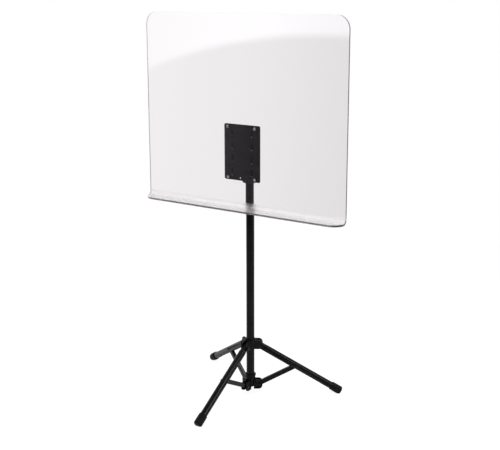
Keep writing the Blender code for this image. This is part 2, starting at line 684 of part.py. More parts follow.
def build_head(root, paint, plastic, clear, zinc):
    slide = carrier("height_slide", STAND @ Matrix.Translation((0, 0, ROD_LOW)), root)
    guide = tube(POLE_BORE - AIR, ROD_R + AIR, ROD_LOW, ROD_LOW + GUIDE_LENGTH)
    piece("rod_guide", guide, plastic, slide, STAND)
    swivel = carrier("head_swivel", STAND @ Matrix.Translation((0, 0, ROD_LOW)), slide)
    piece("inner_rod", tube(ROD_R, ROD_BORE, ROD_LOW, ROD_HIGH), zinc, swivel, STAND)
    piece("tilt_block", block_mesh(), plastic, swivel, STAND)
    axis = STAND @ Matrix.Translation((0, 0, TILT_Z)) @ LENGTHWISE
    outside = YOKE_INSIDE + YOKE_THICK + AIR
    shank = rod(TILT_BOLT_R, -outside - TILT_NUT - TILT_BOLT_END, outside + TILT_HEAD / 2)
    head = rod(TILT_HEAD_R, outside, outside + TILT_HEAD, sides=6)
    piece("tilt_bolt", carved(shank, join=[head]), zinc, swivel, axis)
    tilt_nut = nut(TILT_HEAD_R, TILT_HOLE_R, -outside - TILT_NUT, -outside, Matrix())
    piece("tilt_nut", tilt_nut, zinc, swivel, axis)
    low, high = BLOCK_HALF + AIR, YOKE_INSIDE - AIR
    for word, ends in (("right", (low, high)), ("left", (-high, -low))):
        washer = tube(TILT_WASHER_R, TILT_HOLE_R, *ends, MEDIUM)
        piece(f"tilt_washer_{word}", washer, plastic, swivel, axis)
    build_shield(swivel, paint, clear, zinc)


def build_shield(swivel, paint, clear, zinc):
    tilt = carrier("shield_tilt", STAND @ Matrix.Translation((0, 0, TILT_Z)), swivel)
    piece("shield_panel", panel_mesh(), clear, tilt, STAND)
    piece("mount_plate", plate_mesh(), paint, tilt, STAND)
    piece("tilt_yoke", yoke_mesh(), paint, tilt, STAND)
    seat = plate_depth()[0] - AIR
    nut_seat = seat - WASHER_THICK - AIR
    shank = PANEL_FRONT + AIR - nut_seat + NUT_THICK + BOLT_END
    for corner, (x, z) in bolt_places().items():
        line = STAND @ Matrix.Translation((x, 0, z)) @ OUTWARD
        screw = pan_screw(BOLT_HEAD_R, BOLT_HEAD, BOLT_R, shank)
        piece(f"panel_bolt_{corner}", screw, zinc, tilt, line @ Matrix.Translation((0, 0, PANEL_FRONT + AIR)))
        washer = tube(WASHER_R, BOLT_HOLE_R, seat - WASHER_THICK, seat, COARSE)
        piece(f"panel_washer_{corner}", washer, zinc, tilt, line)
        small_nut = nut(NUT_R, BOLT_HOLE_R, nut_seat - NUT_THICK, nut_seat, Matrix())
        piece(f"panel_nut_{corner}", small_nut, zinc, tilt, line)


def main():
    for obj in list(bpy.data.objects):
        bpy.data.objects.remove(obj)
    paint = finish("black_powder_coat", (0.018, 0.018, 0.020), 0.45)
    plastic = finish("black_plastic", (0.014, 0.014, 0.015), 0.5)
    rubber = finish("black_rubber", (0.010, 0.010, 0.010), 0.8)
    zinc = finish("zinc_steel", (0.62, 0.62, 0.64), 0.35, 1.0)
    dark = finish("black_steel", (0.03, 0.03, 0.03), 0.4, 1.0)
    clear = finish("clear_acrylic", (0.95, 0.96, 0.97), 0.04, 0.0, 0.25)
    root = carrier("stand", STAND)
    build_mast(root, paint, plastic, dark)
    build_tripod(root, paint, plastic, rubber, dark)
    build_head(root, paint, plastic, clear, zinc)


main()
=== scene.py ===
# %% [markdown]
# This is an acoustic shield: a clear sheet that stands between a loud instrument and its
# neighbours. The sheet is bent forward along its lower edge and screwed to a black steel
# plate. The plate tilts on top of a telescoping pole, and the pole stands on a tripod that
# folds like an umbrella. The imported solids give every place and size. This lesson dresses
# them in fine meshes, finishes and light.

import json
import math

import bmesh
import bpy
from mathutils import Matrix, Vector


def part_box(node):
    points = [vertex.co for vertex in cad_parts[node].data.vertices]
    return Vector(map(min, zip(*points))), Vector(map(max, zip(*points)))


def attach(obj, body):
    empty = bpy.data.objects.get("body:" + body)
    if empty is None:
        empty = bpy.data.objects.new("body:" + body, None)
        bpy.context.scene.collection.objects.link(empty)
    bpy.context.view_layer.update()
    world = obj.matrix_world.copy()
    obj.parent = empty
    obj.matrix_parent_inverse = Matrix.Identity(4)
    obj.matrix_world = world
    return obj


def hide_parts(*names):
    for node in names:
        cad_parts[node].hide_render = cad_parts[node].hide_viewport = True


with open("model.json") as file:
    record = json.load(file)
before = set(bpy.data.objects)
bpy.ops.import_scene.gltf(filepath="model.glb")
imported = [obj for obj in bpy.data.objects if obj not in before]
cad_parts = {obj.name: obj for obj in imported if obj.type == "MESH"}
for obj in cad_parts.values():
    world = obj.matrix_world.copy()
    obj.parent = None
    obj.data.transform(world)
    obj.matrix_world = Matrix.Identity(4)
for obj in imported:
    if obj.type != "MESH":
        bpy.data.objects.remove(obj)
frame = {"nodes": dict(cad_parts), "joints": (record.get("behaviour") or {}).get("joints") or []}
bpy.context.scene.view_settings.view_transform = "Standard"
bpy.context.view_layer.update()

# %% [markdown]
# The photograph is taken from the right of the front, from a little above the sheet's top
# edge. A level camera with a tall lens shift would keep every upright line upright, but the
# shift stays with the camera when it goes round the object. So the camera here leans down a
# little instead, and stands a little further off with a longer lens, which keeps the
# uprights nearly parallel.

# %% Camera
CAMERA_PLACE = Vector((1.2693, -1.8917, 1.0988))
CAMERA_TURN = math.radians(32.53)
CAMERA_TILT = math.radians(12.10)
CAMERA_LENS = 64.8
CAMERA_SENSOR = 36.0
CAMERA_SHIFT = (-0.0158, -0.09)


def placed(name, data):
    """An object in the scene, for a mesh, a lamp or a camera."""
    obj = bpy.data.objects.new(name, data)
    bpy.context.scene.collection.objects.link(obj)
    return obj


camera_data = bpy.data.cameras.new("camera")
camera_data.lens = CAMERA_LENS
camera_data.sensor_width = CAMERA_SENSOR
camera_data.shift_x, camera_data.shift_y = CAMERA_SHIFT
camera = placed("camera", camera_data)
camera.location = CAMERA_PLACE
camera.rotation_euler = (math.pi / 2 - CAMERA_TILT, 0.0, CAMERA_TURN)
bpy.context.scene.camera = camera
print("camera at", tuple(CAMERA_PLACE))

# %% [markdown]
# The studio is a white sweep, so the camera sees white all round the stand. What the stand
# itself mirrors is another matter. The room behind the camera is dark, as a studio's is,
# which keeps black paint black and clear sheet clear. A white wall at the left front gives
# the sheet its pale veil, and it ends before the side, so the pole's flank stays dark. The
# room at the back is white again. These are shares of the world's light by direction, told
# apart by the kind of ray that asks, because a real studio that large would only cost time.

# %% World
WORLD_LIGHT = 0.66
DARK_ROOM = 0.19
LEFT_WALL = 0.85
WALL_START = (-0.52, -0.66)
WALL_END = (-0.72, -0.86)
ROOM_BACK = 0.95
BACK_TURN = (-0.35, 0.25)
SWEEP_LEFT = 0.97
SWEEP_RIGHT = 0.87
SWEEP_TURN = (-0.56, -0.42)


def new_node(tree, kind, **settings):
    """A node with some of its settings filled in."""
    node = tree.nodes.new(kind)
    for name, value in settings.items():
        setattr(node, name, value)
    return node


def feed(tree, node, *values):
    """Gives each of a node's inputs in turn a number or a socket."""
    for socket, value in zip(node.inputs, values):
        if isinstance(value, (int, float)):
            socket.default_value = value
        else:
            tree.links.new(value, socket)
    return node.outputs[0]


def maths(tree, operation, first, second):
    """One sum on two sockets or numbers."""
    return feed(tree, new_node(tree, "ShaderNodeMath", operation=operation), first, second)


def eased(tree, value, start, end, low=0.0, high=1.0):
    """A soft step, from low where the value is at start to high where it is at end."""
    node = new_node(tree, "ShaderNodeMapRange", interpolation_type="SMOOTHSTEP")
    return feed(tree, node, value, start, end, low, high)


def blended(tree, share, first, second):
    """A number between two others."""
    part = maths(tree, "MULTIPLY", share, maths(tree, "SUBTRACT", second, first))
    return maths(tree, "ADD", first, part)


def parts_of(tree, kind="Object"):
    """The X, Y and Z of a texture coordinate, as sockets to pick by name."""
    parts = new_node(tree, "ShaderNodeSeparateXYZ")
    tree.links.new(new_node(tree, "ShaderNodeTexCoord").outputs[kind], parts.inputs[0])
    return parts.outputs


world = bpy.data.worlds.new("white_room")
bpy.context.scene.world = world
world.use_nodes = True
tree = world.node_tree
ray = new_node(tree, "ShaderNodeLightPath")
way = parts_of(tree, "Generated")
front = eased(tree, way["X"], *WALL_START, DARK_ROOM, LEFT_WALL)
front = blended(tree, eased(tree, way["X"], *WALL_END), front, DARK_ROOM)
mirrored = blended(tree, eased(tree, way["Y"], *BACK_TURN), front, ROOM_BACK)
through = eased(tree, way["X"], *SWEEP_TURN, SWEEP_LEFT, SWEEP_RIGHT)
strength = blended(tree, ray.outputs["Is Transmission Ray"], WORLD_LIGHT, through)
bounced = maths(tree, "MINIMUM", ray.outputs["Glossy Depth"], 1.0)
strength = blended(tree, bounced, strength, mirrored)
strength = blended(tree, ray.outputs["Is Camera Ray"], strength, 1.0)
tree.links.new(strength, tree.nodes["Background"].inputs["Strength"])
tree.nodes["Background"].inputs["Color"].default_value = (1.0, 1.0, 1.0, 1.0)
print("world gives", WORLD_LIGHT)

# %% [markdown]
# The floor has to look as white as the world and still show that the feet stand on it. Its
# paint is mostly light of its own where the camera, a mirror or the clear sheet sees it,
# and the rest is plain white that the lamps light and the feet shade. It is a round patch
# that fades into the sweep, so no edge or horizon shows from any side.

# %% Floor
FLOOR_HALF = 1.7
FLOOR_FADE = (1.15, 1.6)
FLOOR_GLOW = 0.86
FLOOR_WHITE = 1.055
PAINT_WHITE = 0.9


def meshed(name, shape):
    """A mesh from mesh code."""
    mesh = bpy.data.meshes.new(name)
    shape.to_mesh(mesh)
    return mesh


floor_shape = bmesh.new()
bmesh.ops.create_grid(floor_shape, x_segments=1, y_segments=1, size=FLOOR_HALF)
floor_mesh = meshed("floor", floor_shape)
floor = placed("floor", floor_mesh)


def glowing(name, share, glow_strength, under):
    """A material that is light by a share and otherwise the shader that `under` makes."""
    material = bpy.data.materials.new(name)
    material.use_nodes = True
    tree = material.node_tree
    tree.nodes.clear()
    glow = new_node(tree, "ShaderNodeEmission")
    glow.inputs["Strength"].default_value = glow_strength
    mix = new_node(tree, "ShaderNodeMixShader")
    feed(tree, mix, share(tree), under(tree), glow.outputs[0])
    return material, tree, mix


def finished(material_tree, shader):
    """Sends a shader to the material's output."""
    output = new_node(material_tree, "ShaderNodeOutputMaterial")
    material_tree.links.new(shader.outputs[0], output.inputs["Surface"])


def seen_share(tree):
    """The floor's glow, for every ray but those that carry its bounced light."""
    ray = new_node(tree, "ShaderNodeLightPath")
    seen = ray.outputs["Is Camera Ray"]
    for kind in ("Is Transmission Ray", "Is Glossy Ray"):
        seen = maths(tree, "MAXIMUM", seen, ray.outputs[kind])
    return maths(tree, "MULTIPLY", seen, FLOOR_GLOW)


def white_paint(tree):
    """Plain white paint."""
    paint = new_node(tree, "ShaderNodeBsdfDiffuse")
    paint.inputs["Color"].default_value = (PAINT_WHITE, PAINT_WHITE, PAINT_WHITE, 1.0)
    return paint.outputs[0]


def nothing(tree):
    """Clear air."""
    return new_node(tree, "ShaderNodeBsdfTransparent").outputs[0]


floor_paint, tree, painted = glowing("white_floor", seen_share, FLOOR_WHITE, white_paint)
spot = new_node(tree, "ShaderNodeVectorMath", operation="LENGTH")
tree.links.new(new_node(tree, "ShaderNodeTexCoord").outputs["Object"], spot.inputs[0])
fade = new_node(tree, "ShaderNodeMixShader")
feed(tree, fade, eased(tree, spot.outputs["Value"], *FLOOR_FADE), painted.outputs[0], nothing(tree))
finished(tree, fade)
floor_mesh.materials.append(floor_paint)
print("floor fades out at", FLOOR_FADE[1], "m")

# %% [markdown]
# Three softboxes light the stand. The big one hangs high at the front left and models the
# tubes, a narrow one at the right draws the long highlight along the legs, and one above
# the back rims them. They are large, so every shadow is soft. The clear sheet bends light,
# and a lamp seen through a bend turns to specks, so the lamps don't show in bent light.

# %% Lamps
LAMPS = {
    "key": ((-1.6, -1.9, 2.6), (0.0, 0.0, 0.45), (0.8, 1.4), 36.0),
    "side": ((2.3, 0.2, 1.5), (0.0, 0.0, 0.25), (0.35, 1.6), 25.0),
    "top": ((0.1, 0.9, 2.8), (0.0, 0.0, 0.3), (1.6, 1.2), 48.0),
}


def softbox(name, place, target, size, watts):
    """A rectangular lamp that points at a target."""
    data = bpy.data.lights.new(name, "AREA")
    data.shape = "RECTANGLE"
    data.size, data.size_y = size
    data.energy = watts
    lamp = placed(name, data)
    lamp.location = place
    lamp.rotation_euler = (Vector(target) - Vector(place)).to_track_quat("-Z", "Y").to_euler()
    lamp.visible_transmission = False


for name, (place, target, size, watts) in LAMPS.items():
    softbox(name, place, target, size, watts)
print("softboxes:", ", ".join(LAMPS))

# %% [markdown]
# The sheet's top shows a pale band whose soft lower edge rises from the left and levels out
# to the right: a white reflector with a curved hem, in front of the stand to the left. It is
# a plane that only reflections see, so it lights nothing and hides nothing. Its glow starts
# outside a circle, and that circle is the hem.

# %% The reflector that the sheet mirrors
REFLECTOR_DEPTH = -2.7
REFLECTOR_SPAN = (-3.6, -0.5)
REFLECTOR_TOP = 1.15
REFLECTOR_GLOW = 5.0
FADE_LEFT = 2.1
FADE_RIGHT = 0.5
HEM_CENTRE = (-1.18, -3.01)
HEM_RADIUS = 3.80
HEM_SOFT = 0.07

reflector_shape = bmesh.new()
left_end, right_end = REFLECTOR_SPAN
low_edge = [(left_end, 0.0), (right_end, 0.0)]
for x, z in [*low_edge, (right_end, REFLECTOR_TOP), (left_end, REFLECTOR_TOP)]:
    reflector_shape.verts.new((x, REFLECTOR_DEPTH, z))
reflector_shape.faces.new(reflector_shape.verts)
reflector_mesh = meshed("reflector", reflector_shape)
reflector = placed("reflector", reflector_mesh)
for seer in ("visible_camera", "visible_diffuse", "visible_transmission", "visible_shadow"):
    setattr(reflector, seer, False)


def reflector_share(tree):
    """The glow outside the hem's circle, fading out at the reflector's ends."""
    apart = new_node(tree, "ShaderNodeVectorMath", operation="DISTANCE")
    tree.links.new(new_node(tree, "ShaderNodeTexCoord").outputs["Object"], apart.inputs[0])
    apart.inputs[1].default_value = (HEM_CENTRE[0], REFLECTOR_DEPTH, HEM_CENTRE[1])
    hem = eased(tree, apart.outputs["Value"], HEM_RADIUS, HEM_RADIUS + HEM_SOFT)
    along = parts_of(tree)["X"]
    left = eased(tree, along, REFLECTOR_SPAN[0], REFLECTOR_SPAN[0] + FADE_LEFT)
    right = eased(tree, along, REFLECTOR_SPAN[1], REFLECTOR_SPAN[1] - FADE_RIGHT)
    return maths(tree, "MULTIPLY", hem, maths(tree, "MULTIPLY", left, right))


cloth, tree, lit = glowing("reflector_cloth", reflector_share, REFLECTOR_GLOW, nothing)
finished(tree, lit)
reflector_mesh.materials.append(cloth)
print("reflector hem radius", HEM_RADIUS)

# %% [markdown]
# The finishes come next, one for each slot of the record. A finish that varies over the
# surface reads noise at the size of the real grain, in metres, from the object's own
# coordinates, so that it stays on the piece when a joint moves. What is the same all over
# is set on the shader itself.

# %% Helpers for finishes
FINISHES = {}
NOISE_MIDDLE = (0.3, 0.7)


def new_finish(slot, **plain):
    """A material with the shader's plain values set, and its tree and shader to add to."""
    material = bpy.data.materials.new(slot)
    material.use_nodes = True
    tree = material.node_tree
    shader = tree.nodes["Principled BSDF"]
    for name, value in plain.items():
        shader.inputs[name.replace("_", " ")].default_value = value
    FINISHES[slot] = material
    return tree, shader


def grain(tree, per_metre, detail):
    """Noise with so many grains in a metre, from 0 to 1."""
    noise = new_node(tree, "ShaderNodeTexNoise")
    noise.inputs["Scale"].default_value = per_metre
    noise.inputs["Detail"].default_value = detail
    tree.links.new(new_node(tree, "ShaderNodeTexCoord").outputs["Object"], noise.inputs["Vector"])
    return noise.outputs["Fac"]


def spread(tree, value, low, high, socket):
    """Maps the middle of the noise to a range and sends it to a socket."""
    ranged = feed(tree, new_node(tree, "ShaderNodeMapRange"), value, *NOISE_MIDDLE, low, high)
    tree.links.new(ranged, socket)


def bumps(tree, shader, height, strength, depth):
    """Raises the surface by the noise, to a depth in metres."""
    bump = new_node(tree, "ShaderNodeBump")
    bump.inputs["Strength"].default_value = strength
    bump.inputs["Distance"].default_value = depth
    tree.links.new(height, bump.inputs["Height"])
    tree.links.new(bump.outputs["Normal"], shader.inputs["Normal"])


def two_tone(tree, shader, value, first, second):
    """Mixes two near colours by the noise."""
    ramp = new_node(tree, "ShaderNodeValToRGB")
    for stop, place, colour in zip(ramp.color_ramp.elements, NOISE_MIDDLE, (first, second)):
        stop.position = place
        stop.color = (*colour, 1.0)
    tree.links.new(value, ramp.inputs["Fac"])
    tree.links.new(ramp.outputs["Color"], shader.inputs["Base Color"])


def grained(slot, tones, gloss=None, bump=None, **plain):
    """A finish from noise. Each of the three is grains in a metre, their detail and two values."""
    tree, shader = new_finish(slot, **plain)
    two_tone(tree, shader, grain(tree, *tones[:2]), *tones[2:])
    if gloss:
        spread(tree, grain(tree, *gloss[:2]), *gloss[2:], shader.inputs["Roughness"])
    if bump:
        bumps(tree, shader, grain(tree, *bump[:2]), *bump[2:])


print("finish helpers ready")

# %% [markdown]
# Powder coat is plastic dust that is melted onto steel. It flows into a skin with a faint
# orange peel, about a millimetre from crest to crest, and it shines a little less in some
# places than in others. The grain is kept so shallow that it only breaks up highlights. The
# plate has a flatter, slightly violet coat. The floors of its recesses get painted shade, a
# near-black dull finish. The rim at each recess's lower end gets a painted glint, a pale
# finish that stands in for a highlight.

# %% Powder coat
grained(
    "black_powder_coat",
    tones=(35.0, 2.0, (0.0022, 0.0020, 0.0028), (0.0045, 0.0042, 0.0052)),
    gloss=(120.0, 2.0, 0.18, 0.27),
    bump=(1100.0, 3.0, 0.35, 0.00004),
    Specular_IOR_Level=0.10,
)
grained(
    "flat_coat",
    tones=(35.0, 2.0, (0.0062, 0.0054, 0.0092), (0.0092, 0.0082, 0.0128)),
    gloss=(120.0, 2.0, 0.46, 0.60),
    bump=(1100.0, 3.0, 0.5, 0.00005),
    Specular_IOR_Level=0.15,
)
# Painted shade for the recess floors: near-black and dull, so they read dark.
grained(
    "painted_recess_shade",
    tones=(400.0, 2.0, (0.0003, 0.0003, 0.0004), (0.0008, 0.0008, 0.0009)),
    Roughness=0.8,
    Specular_IOR_Level=0.0,
)
# Painted glint: a pale, faintly metallic finish that stands in for a highlight on recess rims and
# on the braces' small hole walls.
grained(
    "painted_glint",
    tones=(500.0, 2.0, (0.74, 0.74, 0.75), (0.90, 0.90, 0.91)),
    Roughness=0.45,
    Metallic=0.2,
)
print("powder coat done")

# %% [markdown]
# The hubs, the clutch and the leg ends are moulded from glass-filled nylon. A mould is
# etched, so the surface has a fine even grain and hardly any gloss.

# %% Moulded plastic
grained(
    "black_plastic",
    tones=(60.0, 2.0, (0.0020, 0.0020, 0.0024), (0.0045, 0.0044, 0.0050)),
    gloss=(300.0, 2.0, 0.36, 0.50),
    bump=(2600.0, 2.0, 0.4, 0.00003),
    Specular_IOR_Level=0.10,
)
print("plastic done")

# %% [markdown]
# The feet are soft rubber. Rubber scatters what little light it returns, and dust settles
# on it in pale patches.

# %% Rubber
grained(
    "black_rubber",
    tones=(90.0, 6.0, (0.002, 0.002, 0.002), (0.0055, 0.0053, 0.005)),
    bump=(1500.0, 4.0, 0.5, 0.00006),
    Roughness=0.6,
    Specular_IOR_Level=0.09,
)
print("rubber done")

# %% [markdown]
# The screws that hold the sheet and the tilt bolt are zinc-plated steel. Zinc is bright and
# a little uneven, with a bluish and a yellowish cast in it.

# %% Zinc plate
grained(
    "zinc_steel",
    tones=(180.0, 3.0, (0.30, 0.31, 0.34), (0.40, 0.39, 0.37)),
    gloss=(700.0, 4.0, 0.20, 0.36),
    bump=(1800.0, 2.0, 0.15, 0.00002),
    Metallic=1.0,
)
print("zinc done")

# %% [markdown]
# Rivets and pins are blackened: the steel is turned dark in a hot salt bath, so it stays
# metal under the colour, with the faintest brown in it. It needs no bumps, because the
# pieces are too small for them to show.

# %% Blackened steel
grained(
    "black_steel",
    tones=(220.0, 3.0, (0.012, 0.012, 0.013), (0.026, 0.024, 0.023)),
    gloss=(900.0, 3.0, 0.28, 0.46),
    Metallic=1.0,
)
print("blackened steel done")

# %% [markdown]
# The sheet is clear acrylic. It lets light through, bends it and mirrors a little of the
# room. A cast sheet isn't quite flat, and a wave far too shallow to see is enough to make
# the edge of a reflection soft, so a very slow bump does that here. Heat leaves the bend a
# little hazy and rough, so two ramps that follow the bend round set how clear and how smooth
# it is. The rim has a finish of its own with painted shade. It is painted darker at the left,
# standing in for the dark room that it mirrors there, and painted darkest at the right
# corner of the lip.

# %% Clear acrylic
CLEAR_TINT = (0.915, 0.895, 0.900)
# Painted shade of the rim: a dark violet tint for the edge, and a near-black one for the lip's
# right corner.
EDGE_PAINTED_SHADE = (0.34, 0.30, 0.36)
CORNER_PAINTED_SHADE = (0.05, 0.045, 0.055)
EDGE_CLEAR = (0.1, 0.85)
LEFT_EDGE = (-0.290, -0.265)
LIP_CORNER = (0.265, 0.300)
LIP_TOP = (0.545, 0.535)
VIOLET_MIRROR = (0.94, 0.89, 1.0, 1.0)
ACRYLIC_IOR = 1.49
BEND_SPAN = (0.5690, 0.5190)
CLARITY = ((0.0, 1.0), (0.08, 0.96), (0.18, 0.95), (0.36, 0.93), (0.50, 0.89), (0.80, 0.84))
BLUR = ((0.0, 0.0), (0.08, 0.34), (0.50, 0.34), (0.62, 0.12))


def bend_way(tree):
    """How far a point lies down the bend and out along the lip, from 0 to 1."""
    place = parts_of(tree)
    height_and_depth = maths(tree, "ADD", place["Z"], place["Y"])
    return feed(tree, new_node(tree, "ShaderNodeMapRange"), height_and_depth, *BEND_SPAN, 0.0, 1.0)


def ramped(tree, value, stops):
    """A grey value that runs through (place, grey) stops."""
    ramp = new_node(tree, "ShaderNodeValToRGB")
    elements = ramp.color_ramp.elements
    while len(elements) < len(stops):
        elements.new(1.0)
    for element, (place, grey) in zip(elements, stops):
        element.position = place
        element.color = (grey, grey, grey, 1.0)
    tree.links.new(value, ramp.inputs["Fac"])
    return ramp.outputs["Color"]


tree, shader = new_finish(
    "clear_acrylic", Base_Color=(*CLEAR_TINT, 1.0), IOR=ACRYLIC_IOR, Specular_Tint=VIOLET_MIRROR
)
bumps(tree, shader, grain(tree, 5.0, 1.0), 0.05, 0.004)
way_down = bend_way(tree)
tree.links.new(ramped(tree, way_down, CLARITY), shader.inputs["Transmission Weight"])
tree.links.new(ramped(tree, way_down, BLUR), shader.inputs["Roughness"])

tree, shader = new_finish("acrylic_edge", Roughness=0.12, IOR=ACRYLIC_IOR)
# The rim's painted shade: less clear at the left edge, and turning to the near-black tint at the
# lip's right corner.
place = parts_of(tree)
clear = eased(tree, place["X"], *LEFT_EDGE, *EDGE_CLEAR)
at_corner = eased(tree, place["X"], *LIP_CORNER)
corner_shade_share = maths(tree, "MULTIPLY", at_corner, eased(tree, place["Z"], *LIP_TOP))
clearness = blended(tree, corner_shade_share, clear, EDGE_CLEAR[0])
tree.links.new(clearness, shader.inputs["Transmission Weight"])
two_tone(tree, shader, corner_shade_share, EDGE_PAINTED_SHADE, CORNER_PAINTED_SHADE)
bumps(tree, shader, grain(tree, 900.0, 2.0), 0.2, 0.00003)
print("acrylic done")

# %% [markdown]
# Every piece starts as an outline. Arcs give it round stretches, and a second helper takes
# a list of corners, each with its own radius, and rounds them. Real edges are never quite
# sharp, and the thin line of light along them is what makes a model look made.

# %% Outlines
MM = 0.001
AIR = 0.3 * MM
SPARE = 5 * MM
SLACK = 0.1 * MM


def arc(centre, radius, start, end, steps):
    """Points on an arc, with its angles in degrees."""
    points = []
    for i in range(steps + 1):
        angle = math.radians(start + (end - start) * i / steps)
        points.append((centre[0] + radius * math.cos(angle), centre[1] + radius * math.sin(angle)))
    return points


def softened(corners, steps=4):
    """An outline from (x, y, radius) corners, with each corner rounded to its radius."""
    outline = []
    for i, (x, y, radius) in enumerate(corners):
        if radius == 0.0:
            outline.append((x, y))
            continue
        here = Vector((x, y))
        back = (Vector(corners[i - 1][:2]) - here).normalized()
        ahead = (Vector(corners[(i + 1) % len(corners)][:2]) - here).normalized()
        half = back.angle(ahead) / 2
        centre = here + (back + ahead).normalized() * radius / math.sin(half)
        reach = radius / math.tan(half)
        start = here + back * reach - centre
        end = here + ahead * reach - centre
        first = math.degrees(math.atan2(start.y, start.x))
        turn = (math.degrees(math.atan2(end.y, end.x)) - first + 180.0) % 360.0 - 180.0
        outline += arc(centre, radius, first, first + turn, steps)
    return outline


trial = softened([(0, 0, 1), (9, 0, 1), (9, 9, 1), (0, 9, 1)])
print("a square with round corners has", len(trial), "points")

# %% [markdown]
# An outline becomes a solid in one of two ways. It is drawn straight out, as a saw cuts a
# bar, or it is turned round an axis, as a lathe cuts one. Both are a few lines of mesh
# code. The lathe can also press flutes into its widest rings for a grip.

# %% Solids from outlines
OUTWARD = Matrix(((1, 0, 0, 0), (0, 0, -1, 0), (0, 1, 0, 0), (0, 0, 0, 1)))
PROFILE = Matrix(((0, 0, -1, 0), (-1, 0, 0, 0), (0, 1, 0, 0), (0, 0, 0, 1)))
LENGTHWISE = Matrix.Rotation(math.pi / 2, 4, "Y")
CROSSWISE = Matrix.Rotation(math.pi / 2, 4, "X")


def drawn(outline, start, end, turn=Matrix()):
    """An outline drawn out from one depth to another, then turned into place."""
    bm = bmesh.new()
    face = bm.faces.new([bm.verts.new((x, y, start)) for x, y in outline])
    made = bmesh.ops.extrude_face_region(bm, geom=[face])
    moved = [item for item in made["geom"] if isinstance(item, bmesh.types.BMVert)]
    bmesh.ops.translate(bm, verts=moved, vec=(0.0, 0.0, end - start))
    bmesh.ops.remove_doubles(bm, verts=bm.verts, dist=1e-7)
    bmesh.ops.recalc_face_normals(bm, faces=bm.faces)
    bmesh.ops.transform(bm, matrix=turn, verts=bm.verts)
    return bm


def turned(profile, sides=64, turn=Matrix(), flutes=0, flute_depth=0.0):
    """A solid turned round Z from (radius, height) points, in a loop or ending on the axis."""
    bm = bmesh.new()
    widest = max(radius for radius, _ in profile)
    rings = []
    for radius, height in profile:
        if radius < 1e-9:
            rings.append([bm.verts.new((0.0, 0.0, height))])
            continue
        ring = []
        for i in range(sides):
            angle = 2.0 * math.pi * (i + 0.5) / sides
            wave = 0.5 - 0.5 * math.cos(flutes * angle)
            out = radius - flute_depth * wave * max(0.0, 1.0 - (widest - radius) / MM)
            ring.append(bm.verts.new((out * math.cos(angle), out * math.sin(angle), height)))
        rings.append(ring)
    for one, two in zip(rings, rings[1:] + rings[:1]):
        for i in range(sides):
            corners = [one[i % len(one)], one[(i + 1) % len(one)]]
            corners += [two[(i + 1) % len(two)], two[i % len(two)]]
            corners = list(dict.fromkeys(corners))
            if len(corners) > 2:
                bm.faces.new(corners)
    bmesh.ops.recalc_face_normals(bm, faces=bm.faces)
    bmesh.ops.transform(bm, matrix=turn, verts=bm.verts)
    return bm


def box(low, high, turn=Matrix()):
    """A block from its lowest to its highest corner."""
    outline = [(low[0], low[1]), (high[0], low[1]), (high[0], high[1]), (low[0], high[1])]
    return drawn(outline, low[2], high[2], turn)


def bar(radius, low, high, turn=Matrix(), sides=32):
    """A plain round bar between two depths."""
    return turned([(0.0, low), (radius, low), (radius, high), (0.0, high)], sides, turn)


print("solids are drawn or turned")

# %% [markdown]
# Booleans join, trim and cut solids, as welding and drilling do. A bevel modifier then
# rounds every edge that is still sharp, inside corners too, as a mould does. Weighted
# normals keep the large faces flat to the light, so that only the round edges catch it.

# %% Joining, trimming, cutting and rounding
SHARP = math.radians(35.0)


def helper(shape):
    """An object for one Boolean, from mesh code."""
    mesh = meshed("shape", shape)
    mesh.shade_smooth()
    return placed("shape", mesh)


def together(shapes):
    """Several shapes that don't touch, as one for a single join or cut."""
    bm = bmesh.new()
    for shape in shapes:
        mesh = meshed("shape", shape)
        bm.from_mesh(mesh)
        bpy.data.meshes.remove(mesh)
    return bm


def worked(base, join=(), trim=(), cut=(), edge=0.0, steps=2):
    """The base with shapes joined to it, trimmed to and cut out, and its edges rounded."""
    body = helper(base)
    tools = []
    for operation, shapes in (("UNION", join), ("INTERSECT", trim), ("DIFFERENCE", cut)):
        for shape in shapes:
            tool = helper(shape)
            modifier = body.modifiers.new(operation, "BOOLEAN")
            modifier.operation = operation
            modifier.solver = "EXACT"
            modifier.object = tool
            tools.append(tool)
    if edge > 0.0:
        bevel = body.modifiers.new("round_edges", "BEVEL")
        bevel.width = edge
        bevel.segments = steps
        bevel.limit_method = "ANGLE"
        bevel.angle_limit = SHARP
    even = body.modifiers.new("even_faces", "WEIGHTED_NORMAL")
    even.keep_sharp = True
    graph = bpy.context.evaluated_depsgraph_get()
    mesh = bpy.data.meshes.new_from_object(body.evaluated_get(graph))
    for obj in [body, *tools]:
        bpy.data.objects.remove(obj)
    if edge == 0.0:
        mesh.set_sharp_from_angle(angle=SHARP)
    return mesh


def piece(name, mesh, slot, body, place, *nodes):
    """One visible piece: its finish, the body that carries it, its place and its nodes."""
    own = mesh.copy()
    own.transform(place)
    obj = placed(name, own)
    if not own.materials:
        own.materials.append(FINISHES[slot])
    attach(obj, body)
    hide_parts(*nodes)


print("Booleans, bevels and weighted normals ready")

# %% [markdown]
# Places come from the frame. The pole's own node gives its axis, and the joints give the
# tripod's pivots. Each leg gets a frame of its own, whose X runs down the leg from its
# pivot, and each brace one whose X runs up along the brace to its pin in the leg.

# %% Places
SIDES = ("front", "right", "left")
JOINTS = {joint["name"]: joint for joint in frame["joints"]}
LEG_SLOPE = math.radians(30.4)

pole_low, pole_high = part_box("outer_tube")
STAND = Matrix.Translation(((pole_low.x + pole_high.x) / 2, (pole_low.y + pole_high.y) / 2, 0.0))


def framed(along, across, origin):
    """A frame at a point, from the directions of its X and Y."""
    x = Vector(along).normalized()
    y = Vector(across).normalized()
    return Matrix.Translation(origin) @ Matrix((x, y, x.cross(y))).transposed().to_4x4()


